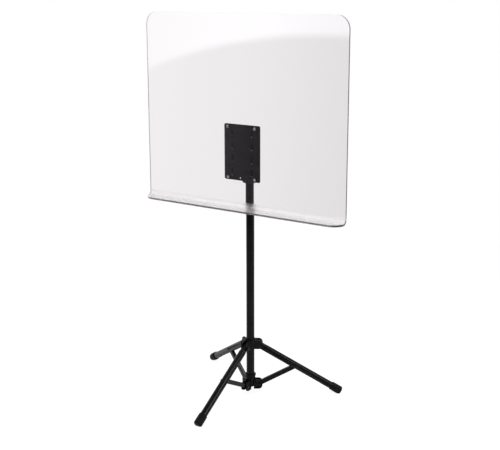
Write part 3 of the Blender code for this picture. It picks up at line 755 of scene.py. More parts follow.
def leg_plane(side):
    """The level frame of one leg: X points out from the pole, and the origin is on its axis."""
    hinge = Vector(JOINTS[f"leg_{side}_hinge"]["axis"])
    outward = hinge.cross(Vector((0.0, 0.0, 1.0)))
    return framed(outward, Vector((0.0, 0.0, 1.0)).cross(outward), STAND.translation)


def leg_line(side):
    """The frame of one leg: X runs down it from its pivot."""
    plane = leg_plane(side)
    pivot = Vector(JOINTS[f"leg_{side}_hinge"]["pos_m"])
    return Matrix.Translation(pivot) @ plane.to_3x3().to_4x4() @ Matrix.Rotation(LEG_SLOPE, 4, "Y")


def hub_pivot(side):
    """Where a brace's inner end turns, halfway between its two rivets."""
    corners = [*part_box(f"hub_rivet_{side}_a"), *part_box(f"hub_rivet_{side}_b")]
    return sum(corners, Vector()) / len(corners)


def brace_line(side):
    """The frame of one brace: X runs up along it and ends at its pin in the leg."""
    pin = Vector(JOINTS[f"brace_{side}_hinge"]["pos_m"])
    run = pin - hub_pivot(side)
    across = leg_plane(side).to_3x3() @ Vector((0.0, 1.0, 0.0))
    return framed(run, across, pin)


BRACE_LENGTH = (Vector(JOINTS["brace_front_hinge"]["pos_m"]) - hub_pivot("front")).length
print("pole axis", tuple(STAND.translation), "brace", round(BRACE_LENGTH, 4))

# %% [markdown]
# The pole is a drawn steel tube with its ends filed round. It is simple to turn on the
# lathe, and it needs many sides because it is the straightest, glossiest thing here.

# %% Pole
POLE_R = 11 * MM
POLE_BORE = 9.5 * MM
POLE_LOW = 16 * MM
POLE_HIGH = 636 * MM
POLE_SIDES = 72

pole_outline = softened([
    (POLE_BORE, POLE_LOW, 0.3 * MM),
    (POLE_R, POLE_LOW, 0.5 * MM),
    (POLE_R, POLE_HIGH, 0.5 * MM),
    (POLE_BORE, POLE_HIGH, 0.3 * MM),
])
pole = worked(turned(pole_outline, POLE_SIDES))
piece("pole", pole, "black_powder_coat", "mast", STAND, "outer_tube")
print("pole", POLE_HIGH - POLE_LOW)

# %% [markdown]
# Screws, pins and rivets are small, but they are what the eye looks for. A pan head is a
# low dome over a short upright rim, with a cross driven into it. A nut is a six-sided bar
# whose corners a lathe has turned off, so it is a hexagon trimmed by a turned barrel.

# %% Fasteners
SCREW_SIDES = 40
NUT_SIDES = 48
DOME_RIM = 0.42
DOME_FULLNESS = 0.75
DOME_STEPS = 6
THREAD_DEPTH = 0.22
THREADED_FROM = 0.45
TIP_TAPER = 0.3
CROSS_TURN = 0.35
CROSS_HALF = 0.2
CROSS_FLOOR = 0.35
NUT_CHAMFER = 0.18
NUT_SINK = 0.12


def pan_head(radius, height):
    """The outline of a domed head above 0, from its rim to its top."""
    rim = DOME_RIM * height
    points = [(radius, 0.0), (radius, rim)]
    for i in range(1, DOME_STEPS):
        angle = math.radians(90.0 * i / DOME_STEPS)
        out = radius * math.cos(angle) ** DOME_FULLNESS
        points.append((out, rim + (height - rim) * math.sin(angle)))
    return points + [(0.0, height)]


def threaded(radius, start, end, pitch):
    """The outline of a screw thread from one height up to another."""
    points = []
    root = radius - THREAD_DEPTH * pitch
    for i in range(round((end - start) / pitch)):
        points += [(root, start + i * pitch), (radius, start + (i + 0.5) * pitch)]
    return points + [(root, end)]


def pan_screw(head_r, head, shank_r, shank, cross, pitch):
    """A screw along Z, with its head above 0 and a cross recess in it."""
    thread_end = -THREADED_FROM * shank
    profile = [(0.0, -shank), (shank_r - TIP_TAPER * pitch, -shank)]
    profile += threaded(shank_r, -shank + pitch, thread_end, pitch)
    profile += [(shank_r, thread_end), (shank_r, 0.0), *pan_head(head_r, head)]
    half = CROSS_HALF * cross
    recess = []
    for turn in (0.0, math.pi / 2):
        place = Matrix.Rotation(turn + CROSS_TURN, 4, "Z")
        recess.append(box((-cross, -half, CROSS_FLOOR * head), (cross, half, head + MM), place))
    return worked(turned(profile, SCREW_SIDES), cut=recess)


def hex_nut(radius, hole_r, low, high):
    """A nut with turned corners and a countersunk hole."""
    side = radius * math.cos(math.pi / 6)
    drop = NUT_CHAMFER * (high - low)
    barrel = [(0.0, low), (side, low), (radius, low + drop)]
    barrel += [(radius, high - drop), (side, high), (0.0, high)]
    sink = NUT_SINK * radius
    mouth = hole_r + sink + MM
    hole = [(0.0, low - MM), (mouth, low - MM), (hole_r, low + sink)]
    hole += [(hole_r, high - sink), (mouth, high + MM), (0.0, high + MM)]
    blank = bar(radius, low, high, sides=6)
    return worked(blank, trim=[turned(barrel, NUT_SIDES)], cut=[turned(hole, SCREW_SIDES)])


def washer(radius, hole_r, low, high):
    """A flat ring with its edges rolled."""
    soft = min(0.25 * MM, 0.3 * (high - low))
    corners = [(hole_r, low, soft), (radius, low, soft), (radius, high, soft), (hole_r, high, soft)]
    return worked(turned(softened(corners), NUT_SIDES))


def domed_pin(shank_r, half, head_r, head):
    """A pin through a joint, along Y, with a domed head on each side."""
    upper = [(shank_r, half)]
    upper += [(radius, half + height) for radius, height in pan_head(head_r, head)]
    lower = [(radius, -height) for radius, height in reversed(upper)]
    return worked(turned(lower + upper, SCREW_SIDES, CROSSWISE))


print("fasteners ready")

# %% [markdown]
# Both hubs are mouldings: a sleeve round the pole and three forks that hold the ends of
# the legs and of the braces. The ears are drawn in each leg's plane and joined to the
# sleeve, and the bevel then rounds the outer edges and fills the inner corners.

# %% Forks for both hubs
PIVOT_OUT = 26 * MM
FORK_ROOT = 9.5 * MM
FORK_END = 33.5 * MM
FORK_ROUND = 11 * MM
PIN_R = 2.2 * MM
PIN_HOLE_R = 2.5 * MM
PIN_HEAD_R = 4 * MM
PIN_HEAD = 1.5 * MM


def level_turn(side):
    """How far one leg's plane is turned from the pole's own frame."""
    return STAND.inverted() @ leg_plane(side)


def ears(bottom, top, inner, thick):
    """Three pairs of fork ears, each drawn from inside the sleeve's wall."""
    end = FORK_END - FORK_ROUND
    outline = [(FORK_ROOT, bottom)]
    outline += arc((end, bottom + FORK_ROUND), FORK_ROUND, -90, 0, 10)
    outline += arc((end, top - FORK_ROUND), FORK_ROUND, 0, 90, 10)
    outline += [(FORK_ROOT, top)]
    shapes = []
    for side in SIDES:
        plane = level_turn(side) @ OUTWARD
        shapes.append(drawn(outline, inner, inner + thick, plane))
        shapes.append(drawn(outline, -inner - thick, -inner, plane))
    return together(shapes)


def fork_holes(height):
    """The pivot holes through all three forks."""
    shapes = []
    for side in SIDES:
        pivot = level_turn(side) @ Matrix.Translation((PIVOT_OUT, 0.0, height)) @ CROSSWISE
        shapes.append(bar(PIN_HOLE_R, -FORK_END / 2, FORK_END / 2, pivot))
    return together(shapes)


print("forks reach", FORK_END)

# %% [markdown]
# The upper hub slides on the pole. Its forks hold the legs' nylon ends, and a lining
# inside it grips the pole, with a rim that shows on top.

# %% Upper hub
COLLAR_LOW = 127 * MM
COLLAR_HIGH = 153 * MM
COLLAR_R = 14.5 * MM
COLLAR_BORE = 12.6 * MM
COLLAR_EAR = 4 * MM
TONGUE_HALF = 5 * MM
COLLAR_PIVOT_Z = 136 * MM
BUSH_RIM = 1.8 * MM

sleeve = bar(COLLAR_R, COLLAR_LOW, COLLAR_HIGH, sides=64)
collar_ears = ears(COLLAR_LOW, COLLAR_HIGH, TONGUE_HALF + AIR, COLLAR_EAR)
bore = bar(COLLAR_BORE, COLLAR_LOW - SPARE, COLLAR_HIGH + SPARE, sides=64)
collar = worked(sleeve, join=[collar_ears], cut=[bore, fork_holes(COLLAR_PIVOT_Z)], edge=0.5 * MM)
piece("sliding_hub", collar, "black_plastic", "collar", STAND, "upper_hub")

bush_outline = softened([
    (POLE_R + AIR, COLLAR_LOW - AIR, 0.2 * MM),
    (COLLAR_BORE - AIR, COLLAR_LOW - AIR, 0.2 * MM),
    (COLLAR_BORE - AIR, COLLAR_HIGH + AIR, 0.0),
    (COLLAR_R - AIR, COLLAR_HIGH + AIR, 0.2 * MM),
    (COLLAR_R - AIR, COLLAR_HIGH + BUSH_RIM, 0.7 * MM),
    (POLE_R + AIR, COLLAR_HIGH + BUSH_RIM, 0.4 * MM),
])
piece("hub_lining", worked(turned(bush_outline)), "black_plastic", "collar", STAND, "collar_bush")
print("upper hub", len(collar.polygons), "faces")

# %% [markdown]
# The lower hub is fixed to the pole's end with a screw from the back. It has a round
# bottom and a ring round its top. Its forks are open above and below, so that the braces
# can stand nearly upright when the tripod is folded.

# %% Lower hub
HUB_LOW = 10 * MM
HUB_HIGH = 52 * MM
HUB_R = 13.5 * MM
HUB_ROUND = 4.5 * MM
HUB_RING_R = 15 * MM
HUB_RING_LOW = 47 * MM
HUB_EAR = 3.5 * MM
HUB_EAR_HIGH = 36 * MM
HUB_PIVOT_Z = 23 * MM
SCREW_Z = 43 * MM
SCREW_R = 1.3 * MM
SCREW_HEAD_R = 3 * MM
SCREW_HEAD = 1.8 * MM
BRACE_HALF = 5 * MM

hub_outline = [(0.0, HUB_LOW)] + softened([
    (HUB_R, HUB_LOW, HUB_ROUND),
    (HUB_R, HUB_RING_LOW, 0.0),
    (HUB_RING_R, HUB_RING_LOW + 0.6 * MM, 0.0),
    (HUB_RING_R, HUB_HIGH, 0.6 * MM),
    (0.0, HUB_HIGH, 0.0),
], 8)
screw_line = Matrix.Translation((0.0, 0.0, SCREW_Z)) @ Matrix.Rotation(-math.pi / 2, 4, "X")
hub_ears = ears(HUB_LOW, HUB_EAR_HIGH, BRACE_HALF + AIR, HUB_EAR)
hub_bore = bar(POLE_R + AIR, POLE_LOW - AIR, HUB_HIGH + SPARE, sides=64)
screw_hole = bar(SCREW_R + AIR, POLE_BORE, HUB_R + SPARE, screw_line)
hub_cuts = [hub_bore, fork_holes(HUB_PIVOT_Z), screw_hole]
hub = worked(turned(hub_outline), join=[hub_ears], cut=hub_cuts, edge=0.4 * MM)
piece("fixed_hub", hub, "black_plastic", "mast", STAND, "lower_hub")

screw = pan_screw(SCREW_HEAD_R, SCREW_HEAD, SCREW_R, HUB_R - POLE_BORE, 1.5 * MM, 0.6 * MM)
screw_place = STAND @ screw_line @ Matrix.Translation((0.0, 0.0, HUB_R + AIR))
piece("hub_fixing_screw", screw, "black_steel", "mast", screw_place, "hub_screw")
print("lower hub", len(hub.polygons), "faces")

# %% [markdown]
# Each lower fork holds its brace with two short rivets, one in each ear. They are turned
# like the pins, with a dome outside and a flat end that stops at the ear's inner face.

# %% Rivets of the lower hub
def ear_rivet(hand):
    """A short rivet along Y in the ear on one side."""
    inner = BRACE_HALF + AIR
    start = inner + HUB_EAR + AIR
    profile = [(0.0, inner), (PIN_R, inner), (PIN_R, start)]
    profile += [(radius, start + height) for radius, height in pan_head(PIN_HEAD_R, PIN_HEAD)]
    sideways = Matrix.Rotation(-hand * math.pi / 2, 4, "X")
    return worked(turned(profile, SCREW_SIDES, sideways))


for side in SIDES:
    place = leg_plane(side) @ Matrix.Translation((PIVOT_OUT, 0.0, HUB_PIVOT_Z))
    for hand, word in ((1, "a"), (-1, "b")):
        node = f"hub_rivet_{side}_{word}"
        piece(f"ear_rivet_{side}_{word}", ear_rivet(hand), "black_steel", "mast", place, node)
print("six rivets")

# %% [markdown]
# A leg is a steel tube with a nylon end. The tube has a slot in its underside where the
# brace folds in, and a pin through both walls. The nylon end has a round-nosed tongue for
# the fork, a collar that the tube butts against and a plug that fits inside it.

# %% Legs
LEG_R = 9.5 * MM
LEG_BORE = 8.2 * MM
LEG_START = 16.3 * MM
LEG_END = 240 * MM
TONGUE_R = 8 * MM
PLUG_SHOULDER = 14 * MM
PLUG_END = 34 * MM
BRACE_ALONG_LEG = 117 * MM
NEST_BEHIND = 17.5 * MM
NEST_AHEAD = 82 * MM
NEST_HALF = 5.6 * MM


def leg_tube_mesh():
    """The tube with its pin hole and with the brace's slot, whose ends are rounded."""
    corners = [(LEG_BORE, LEG_START, 0.2 * MM), (LEG_R, LEG_START, 0.3 * MM)]
    corners += [(LEG_R, LEG_END, 0.3 * MM), (LEG_BORE, LEG_END, 0.2 * MM)]
    pin_line = Matrix.Translation((BRACE_ALONG_LEG, 0.0, 0.0)) @ CROSSWISE
    hole = bar(PIN_HOLE_R, -LEG_R - SPARE, LEG_R + SPARE, pin_line)
    behind, ahead = BRACE_ALONG_LEG - NEST_BEHIND, BRACE_ALONG_LEG + NEST_AHEAD
    slot = softened([
        (behind, -NEST_HALF, 2 * MM),
        (ahead, -NEST_HALF, 2 * MM),
        (ahead, NEST_HALF, 2 * MM),
        (behind, NEST_HALF, 2 * MM),
    ])
    slot_tool = drawn(slot, -LEG_R - SPARE, -LEG_R / 3)
    return worked(turned(softened(corners), 64, LENGTHWISE), cut=[hole, slot_tool])


def leg_end_mesh():
    """The nylon end: tongue, collar and plug."""
    shoulder = LEG_START - AIR
    plug_r = LEG_BORE - AIR
    profile = [(0.0, PLUG_SHOULDER)] + softened([
        (LEG_R, PLUG_SHOULDER, 0.8 * MM),
        (LEG_R, shoulder, 0.2 * MM),
        (plug_r, shoulder, 0.0),
        (plug_r, PLUG_END, 0.8 * MM),
        (0.0, PLUG_END, 0.0),
    ])
    joined = (PLUG_SHOULDER + shoulder) / 2
    tongue = arc((0.0, 0.0), TONGUE_R, 90, 270, 24) + [(joined, -TONGUE_R), (joined, TONGUE_R)]
    tongue_shape = drawn(tongue, -TONGUE_HALF, TONGUE_HALF, OUTWARD)
    hole = bar(PIN_HOLE_R, -TONGUE_HALF - SPARE, TONGUE_HALF + SPARE, CROSSWISE)
    return worked(turned(profile, 56, LENGTHWISE), join=[tongue_shape], cut=[hole], edge=0.35 * MM)


leg_tube = leg_tube_mesh()
leg_end = leg_end_mesh()
leg_pin = domed_pin(PIN_R, TONGUE_HALF + 2 * AIR + COLLAR_EAR, PIN_HEAD_R, PIN_HEAD)
brace_pin = domed_pin(PIN_R, LEG_R + AIR, PIN_HEAD_R, PIN_HEAD)
for side in SIDES:
    line = leg_line(side)
    pin_line = line @ Matrix.Translation((BRACE_ALONG_LEG, 0.0, 0.0))
    body = f"leg_{side}"
    piece(f"tube_{side}", leg_tube, "black_powder_coat", body, line, f"leg_tube_{side}")
    piece(f"tube_end_{side}", leg_end, "black_plastic", body, line, f"leg_plug_{side}")
    piece(f"hub_pin_{side}", leg_pin, "black_steel", "collar", line, f"leg_pivot_pin_{side}")
    piece(f"cross_pin_{side}", brace_pin, "black_steel", body, pin_line, f"brace_pin_{side}")
print("three legs of", len(leg_tube.polygons), "faces")

# %% [markdown]
# The feet are rubber caps with a bead round the mouth. Each one is worn flat where it
# stands on the floor. The flat lies level, so the cutter is a block whose top is the floor,
# moved from the world into the leg's own frame.

# %% Feet
FOOT_R = 11.5 * MM
FOOT_MOUTH = 229 * MM
FOOT_SOLID = 241 * MM
FOOT_ROUND = 4.5 * MM
LEG_LENGTH = 260 * MM
BEAD = 2.4 * MM
GROOVE = 0.5 * MM
GROOVE_END = FOOT_MOUTH + 2.2 * BEAD


def foot_mesh():
    """A cap with a beaded mouth, turned and then cut off level with the floor."""
    corners = [
        (LEG_R + AIR, FOOT_SOLID, 0.0),
        (LEG_R + AIR, FOOT_MOUTH, 0.4 * MM),
        (FOOT_R, FOOT_MOUTH, 0.8 * MM),
        (FOOT_R, FOOT_MOUTH + BEAD, 0.5 * MM),
        (FOOT_R - GROOVE, FOOT_MOUTH + BEAD + GROOVE, 0.4 * MM),
        (FOOT_R - GROOVE, GROOVE_END, 0.4 * MM),
        (FOOT_R, GROOVE_END + GROOVE, 0.5 * MM),
        (FOOT_R, LEG_LENGTH, FOOT_ROUND),
        (0.0, LEG_LENGTH, 0.0),
    ]
    profile = [(0.0, FOOT_SOLID)] + softened(corners, 6)
    pivot = Vector(JOINTS["leg_front_hinge"]["pos_m"])
    level = Matrix.Rotation(-LEG_SLOPE, 4, "Y") @ Matrix.Translation((0.0, 0.0, -pivot.z))
    wide = FOOT_R + SPARE
    below = box((0.0, -wide, -wide), (LEG_LENGTH, wide, 0.0), level)
    return worked(turned(profile, 56, LENGTHWISE), cut=[below])


foot = foot_mesh()
for side in SIDES:
    line = leg_line(side)
    piece(f"rubber_foot_{side}", foot, "black_rubber", f"leg_{side}", line, f"foot_{side}")
print("feet", len(foot.polygons), "faces")

# %% [markdown]
# A brace is a narrow strip of steel that a press folds into a channel, so the corners
# between its web and its sides are round. The section is drawn along the brace and then
# trimmed to its round-ended side view. Two small holes near its ends are left from its
# making. Their drilled walls get a painted glint, a pale finish that stands in for the
# highlight they catch.

# %% Braces
BRACE_WALL = 1.5 * MM
BRACE_ABOVE = 7.8 * MM
BRACE_BELOW = 4.2 * MM
BRACE_HOLE_R = 2 * MM
BRACE_HOLE_SHARE = 0.12
BRACE_FOLD = 1.9 * MM
BRACE_INNER_FOLD = BRACE_FOLD - 1.2 * MM
HOLE_WALL_TILT = 0.5


def brace_mesh():
    """A folded channel, open below, with round ends and four holes."""
    inner = BRACE_HALF - BRACE_WALL
    low = -BRACE_BELOW - SPARE
    section = softened([
        (-BRACE_HALF, low, 0.0),
        (-BRACE_HALF, BRACE_ABOVE, BRACE_FOLD),
        (BRACE_HALF, BRACE_ABOVE, BRACE_FOLD),
        (BRACE_HALF, low, 0.0),
        (inner, low, 0.0),
        (inner, BRACE_ABOVE - BRACE_WALL, BRACE_INNER_FOLD),
        (-inner, BRACE_ABOVE - BRACE_WALL, BRACE_INNER_FOLD),
        (-inner, low, 0.0),
    ], 6)
    along = Matrix(((0, 0, 1, 0), (1, 0, 0, 0), (0, 1, 0, 0), (0, 0, 0, 1)))
    strip = drawn(section, -BRACE_LENGTH - 2 * BRACE_BELOW, 2 * BRACE_BELOW, along)
    end = arc((0.0, 0.0), BRACE_BELOW, -90, 0, 10)
    end += arc((BRACE_BELOW - BRACE_ABOVE, 0.0), BRACE_ABOVE, 0, 90, 14)[1:]
    outline = end + [(-BRACE_LENGTH - x, z) for x, z in reversed(end)]
    side_view = drawn(outline, -BRACE_HALF - MM, BRACE_HALF + MM, OUTWARD)
    holes = []
    for x in (0.0, -BRACE_LENGTH):
        pivot = Matrix.Translation((x, 0.0, 0.0)) @ CROSSWISE
        holes.append(bar(PIN_HOLE_R, -BRACE_HALF - SPARE, BRACE_HALF + SPARE, pivot))
    for share in (BRACE_HOLE_SHARE, 1 - BRACE_HOLE_SHARE):
        place = Matrix.Translation((-BRACE_LENGTH * share, 0.0, 0.0))
        holes.append(bar(BRACE_HOLE_R, 0.0, BRACE_ABOVE + SPARE, place))
    return worked(strip, trim=[side_view], cut=[together(holes)], edge=0.2 * MM)


def in_small_hole(face):
    """Whether a face of the brace is on the drilled wall of one of its two small holes."""
    for share in (BRACE_HOLE_SHARE, 1 - BRACE_HOLE_SHARE):
        apart = math.hypot(face.center.x + BRACE_LENGTH * share, face.center.y)
        if apart < BRACE_HOLE_R + SLACK and abs(face.normal.z) < HOLE_WALL_TILT:
            return True
    return False


brace = brace_mesh()
brace.materials.append(FINISHES["black_powder_coat"])
brace.materials.append(FINISHES["painted_glint"])
# The walls of the two small holes get the painted glint finish.
for face in brace.polygons:
    face.material_index = 1 if in_small_hole(face) else 0
for side in SIDES:
    line = brace_line(side)
    piece(f"channel_{side}", brace, "black_powder_coat", f"brace_{side}", line, f"brace_{side}")
print("braces", len(brace.polygons), "faces")

# %% [markdown]
# The twist clutch sits on top of the pole, behind the plate. A flanged base is fixed to
# the pole, and a fluted grip screws down over its neck and squeezes a split ring onto the
# rod. Flutes need a lathe that can wave its rings.

# %% Twist clutch
CLUTCH_R = 19.2 * MM
CLUTCH_LOW = 594.5 * MM
CLUTCH_SEAM = 600 * MM
CLUTCH_HIGH = 652 * MM
CLUTCH_NECK_R = 14.5 * MM
CLUTCH_NECK_TOP = 641 * MM
CLUTCH_SHOULDER = 3 * MM
COLLET_R = 11 * MM
COLLET_TOP = 648.2 * MM
ROD_R = 8 * MM
FLUTES = 12
FLUTE_DEPTH = 1.0 * MM
FLUTE_SIDES = 12

base_outline = softened([
    (POLE_R + AIR, CLUTCH_LOW, 0.4 * MM),
    (CLUTCH_R, CLUTCH_LOW, 1.5 * MM),
    (CLUTCH_R, CLUTCH_SEAM, 0.4 * MM),
    (CLUTCH_NECK_R, CLUTCH_SEAM, 0.0),
    (CLUTCH_NECK_R, CLUTCH_NECK_TOP, 0.5 * MM),
    (POLE_R + AIR, CLUTCH_NECK_TOP, 0.3 * MM),
], 6)
clutch_base = worked(turned(base_outline, POLE_SIDES))
piece("clutch_body", clutch_base, "black_plastic", "mast", STAND, "clutch_base")

low, step = CLUTCH_SEAM + AIR, CLUTCH_NECK_TOP + AIR
grip_outline = softened([
    (CLUTCH_NECK_R + AIR, low, 0.0),
    (CLUTCH_R, low, 1.2 * MM),
    (CLUTCH_R, CLUTCH_HIGH, CLUTCH_SHOULDER),
    (ROD_R + AIR, CLUTCH_HIGH, 0.5 * MM),
    (ROD_R + AIR, COLLET_TOP + AIR, 0.0),
    (COLLET_R + AIR, COLLET_TOP + AIR, 0.0),
    (COLLET_R + AIR, step, 0.0),
    (CLUTCH_NECK_R + AIR, step, 0.0),
], 6)
grip_sides = FLUTE_SIDES * FLUTES
grip = worked(turned(grip_outline, grip_sides, flutes=FLUTES, flute_depth=FLUTE_DEPTH))
piece("clutch_handle", grip, "black_plastic", "clutch", STAND, "clutch_grip")
print("clutch", len(grip.polygons), "faces")

# %% [markdown]
# The rod slides in the pole and carries the tilt block on its end. The block is a nylon
# moulding with a round top, and two thin washers keep it from rubbing on the yoke.

# %% Rod and tilt block
ROD_BORE = 6.5 * MM
ROD_LOW = 240 * MM
ROD_HIGH = 668 * MM
TILT_Z = 677.5 * MM
TILT_HOLE_R = 3.3 * MM
TILT_WASHER_R = 9 * MM
BLOCK_HALF = 13 * MM
BLOCK_R = 11 * MM
BLOCK_LOW = 652.8 * MM
YOKE_INSIDE = 14.6 * MM

rod_outline = softened([
    (ROD_BORE, ROD_LOW, 0.0),
    (ROD_R, ROD_LOW, 0.6 * MM),
    (ROD_R, ROD_HIGH, 0.6 * MM),
    (ROD_BORE, ROD_HIGH, 0.0),
])
piece("sliding_rod", worked(turned(rod_outline)), "zinc_steel", "head", STAND, "inner_rod")

TILT_AXIS = Matrix.Translation((0.0, 0.0, TILT_Z)) @ LENGTHWISE
block_side = [(-BLOCK_R, BLOCK_LOW), *arc((0.0, TILT_Z), BLOCK_R, 180, 0, 32), (BLOCK_R, BLOCK_LOW)]
socket = bar(ROD_R + AIR, BLOCK_LOW - SPARE, ROD_HIGH + AIR, sides=64)
tilt_hole = bar(TILT_HOLE_R, -BLOCK_HALF - SPARE, BLOCK_HALF + SPARE, TILT_AXIS)
blank = drawn(block_side, -BLOCK_HALF, BLOCK_HALF, PROFILE)
block = worked(blank, cut=[socket, tilt_hole], edge=0.8 * MM)
piece("rod_head", block, "black_plastic", "head", STAND, "tilt_block")

ends = (BLOCK_HALF + AIR, YOKE_INSIDE - AIR)
for word, (low, high) in (("right", ends), ("left", (-ends[1], -ends[0]))):
    ring = washer(TILT_WASHER_R, TILT_HOLE_R, low, high)
    node = f"tilt_washer_{word}"
    piece(f"slip_washer_{word}", ring, "black_plastic", "head", STAND @ TILT_AXIS, node)
print("block", len(block.polygons), "faces")

# %% [markdown]
# The yoke is a steel channel folded from sheet, and its two flanges grow into ears round
# the tilt bolt. Like the braces, it is drawn from its section with round folds and then
# trimmed to its side view.

# %% Yoke
PANEL_FRONT = 42 * MM
PANEL_THICK = 5 * MM
PLATE_THICK = 2.5 * MM
YOKE_THICK = 2.5 * MM
YOKE_LOW = 616 * MM
YOKE_HIGH = 738 * MM
YOKE_FLANGE = 26.5 * MM
YOKE_EAR_R = 11 * MM
YOKE_EAR_ROOT = 26 * MM
YOKE_FOLD = 3.2 * MM
YOKE_INNER_FOLD = YOKE_FOLD - 2 * MM
PLATE_FRONT = PANEL_FRONT - PANEL_THICK - AIR
PLATE_BACK = PLATE_FRONT - PLATE_THICK


def yoke_mesh():
    """A folded channel with ears, seen from above as a U whose web is at the front."""
    front = PLATE_BACK - AIR
    inside = front - YOKE_THICK
    outside = YOKE_INSIDE + YOKE_THICK
    back = -YOKE_EAR_R - SPARE
    section = softened([
        (-outside, -back, 0.0),
        (-outside, -front, YOKE_FOLD),
        (outside, -front, YOKE_FOLD),
        (outside, -back, 0.0),
        (YOKE_INSIDE, -back, 0.0),
        (YOKE_INSIDE, -inside, YOKE_INNER_FOLD),
        (-YOKE_INSIDE, -inside, YOKE_INNER_FOLD),
        (-YOKE_INSIDE, -back, 0.0),
    ], 6)
    corners = [(front + MM, YOKE_LOW, 0.0), (front + MM, YOKE_HIGH, 0.0)]
    corners += [(YOKE_FLANGE, YOKE_HIGH, 2 * MM), (YOKE_FLANGE, TILT_Z + YOKE_EAR_ROOT, 3 * MM)]
    corners += [(x, y, 0.0) for x, y in arc((0.0, TILT_Z), YOKE_EAR_R, 70, 290, 28)]
    corners += [(YOKE_FLANGE, TILT_Z - YOKE_EAR_ROOT, 3 * MM), (YOKE_FLANGE, YOKE_LOW, 2 * MM)]
    side = softened(corners)
    hole = bar(TILT_HOLE_R, -outside - SPARE, outside + SPARE, TILT_AXIS)
    channel = drawn(section, YOKE_LOW - SPARE, YOKE_HIGH + SPARE)
    side_view = drawn(side, -outside - MM, outside + MM, PROFILE)
    return worked(channel, trim=[side_view], cut=[hole], edge=0.35 * MM)


yoke = yoke_mesh()
piece("folded_yoke", yoke, "black_powder_coat", "shield", STAND, "tilt_yoke")
print("yoke", len(yoke.polygons), "faces")

# %% [markdown]
# The tilt bolt has a six-sided head with turned corners, a plain shank and a thread that
# shows past its nut. The head is a nut without its hole, joined to a turned shank.

# %% Tilt bolt and nut
TILT_BOLT_R = 3 * MM
TILT_HEAD_R = 5.8 * MM
TILT_HEAD = 4 * MM
TILT_NUT = 5 * MM
TILT_BOLT_END = 3 * MM


def tilt_bolt_mesh(outside):
    """The bolt along its own axis, with its head past the right ear."""
    side = TILT_HEAD_R * math.cos(math.pi / 6)
    top = outside + TILT_HEAD
    barrel = [(0.0, outside), (TILT_HEAD_R, outside)]
    barrel += [(TILT_HEAD_R, top - 0.8 * MM), (side, top), (0.0, top)]
    head = worked(bar(TILT_HEAD_R, outside, top, sides=6), trim=[turned(barrel, NUT_SIDES)])
    start = -outside - TILT_NUT - TILT_BOLT_END
    profile = [(0.0, start), (TILT_BOLT_R - 0.6 * MM, start)]
    profile += threaded(TILT_BOLT_R, start + MM, -outside + MM, MM)
    inside_head = outside + TILT_HEAD / 2
    profile += [(TILT_BOLT_R, -outside + MM), (TILT_BOLT_R, inside_head), (0.0, inside_head)]
    head_shape = bmesh.new()
    head_shape.from_mesh(head)
    return worked(turned(profile, SCREW_SIDES), join=[head_shape])


outside = YOKE_INSIDE + YOKE_THICK + AIR
bolt = tilt_bolt_mesh(outside)
piece("tilt_screw", bolt, "zinc_steel", "head", STAND @ TILT_AXIS, "tilt_bolt")
lock_nut = hex_nut(TILT_HEAD_R, TILT_HOLE_R, -outside - TILT_NUT, -outside)
piece("tilt_lock_nut", lock_nut, "zinc_steel", "head", STAND @ TILT_AXIS, "tilt_nut")
print("tilt bolt", len(bolt.polygons), "faces")

# %% [markdown]
# The plate behind the sheet is flat steel with round corners, two columns of shallow
# pressed recesses, four screw holes and one small hole near its lower edge. The recess
# floors get painted shade. Each recess gets a painted glint, a small pale patch at its lower
# end that stands in for a highlight, and it reaches deeper in the right column than in the left.

# %% Plate
PLATE_WIDTH = 110 * MM
PLATE_HEIGHT = 148 * MM
PLATE_MIDDLE = 678.3 * MM
PLATE_CORNER = 4.5 * MM
RECESS_WIDTH = 5.5 * MM
RECESS_LENGTH = 17 * MM
RECESS_DEPTH = 1.6 * MM
RECESS_COLUMN = 30 * MM
RECESS_PITCH = 34.5 * MM
RECESS_ROWS = 4
# How deep the painted glint reaches down the rim in each column, and how far up a face must tilt to
# take it.
GLINT_DEPTH_RIGHT = 1.3 * MM
GLINT_DEPTH_LEFT = 0.45 * MM
GLINT_TILT = 0.4
ON_FRONT = 0.02 * MM
SMALL_HOLE = (-6 * MM, 611 * MM)
SMALL_HOLE_R = 2 * MM
BOLT_X = 41.5 * MM
BOLT_Z = 66.7 * MM
BOLT_HOLE_R = 2.3 * MM

BOLT_PLACES = {}
for height, up in (("top", 1), ("bottom", -1)):
    for hand, across in (("left", -1), ("right", 1)):
        BOLT_PLACES[f"{height}_{hand}"] = (across * BOLT_X, PLATE_MIDDLE + up * BOLT_Z)


def recess_shapes():
    """The cutters for both columns of recesses, round at both ends."""
    shapes = []
    for across in (-1, 1):
        for row in range(RECESS_ROWS):
            x = across * RECESS_COLUMN
            z = PLATE_MIDDLE + (row - (RECESS_ROWS - 1) / 2) * RECESS_PITCH
            end = (RECESS_LENGTH - RECESS_WIDTH) / 2
            outline = arc((x, z + end), RECESS_WIDTH / 2, 0, 180, 16)
            outline += arc((x, z - end), RECESS_WIDTH / 2, 180, 360, 16)
            shapes.append(drawn(outline, PLATE_FRONT - RECESS_DEPTH, PLATE_FRONT + SPARE, OUTWARD))
    return shapes


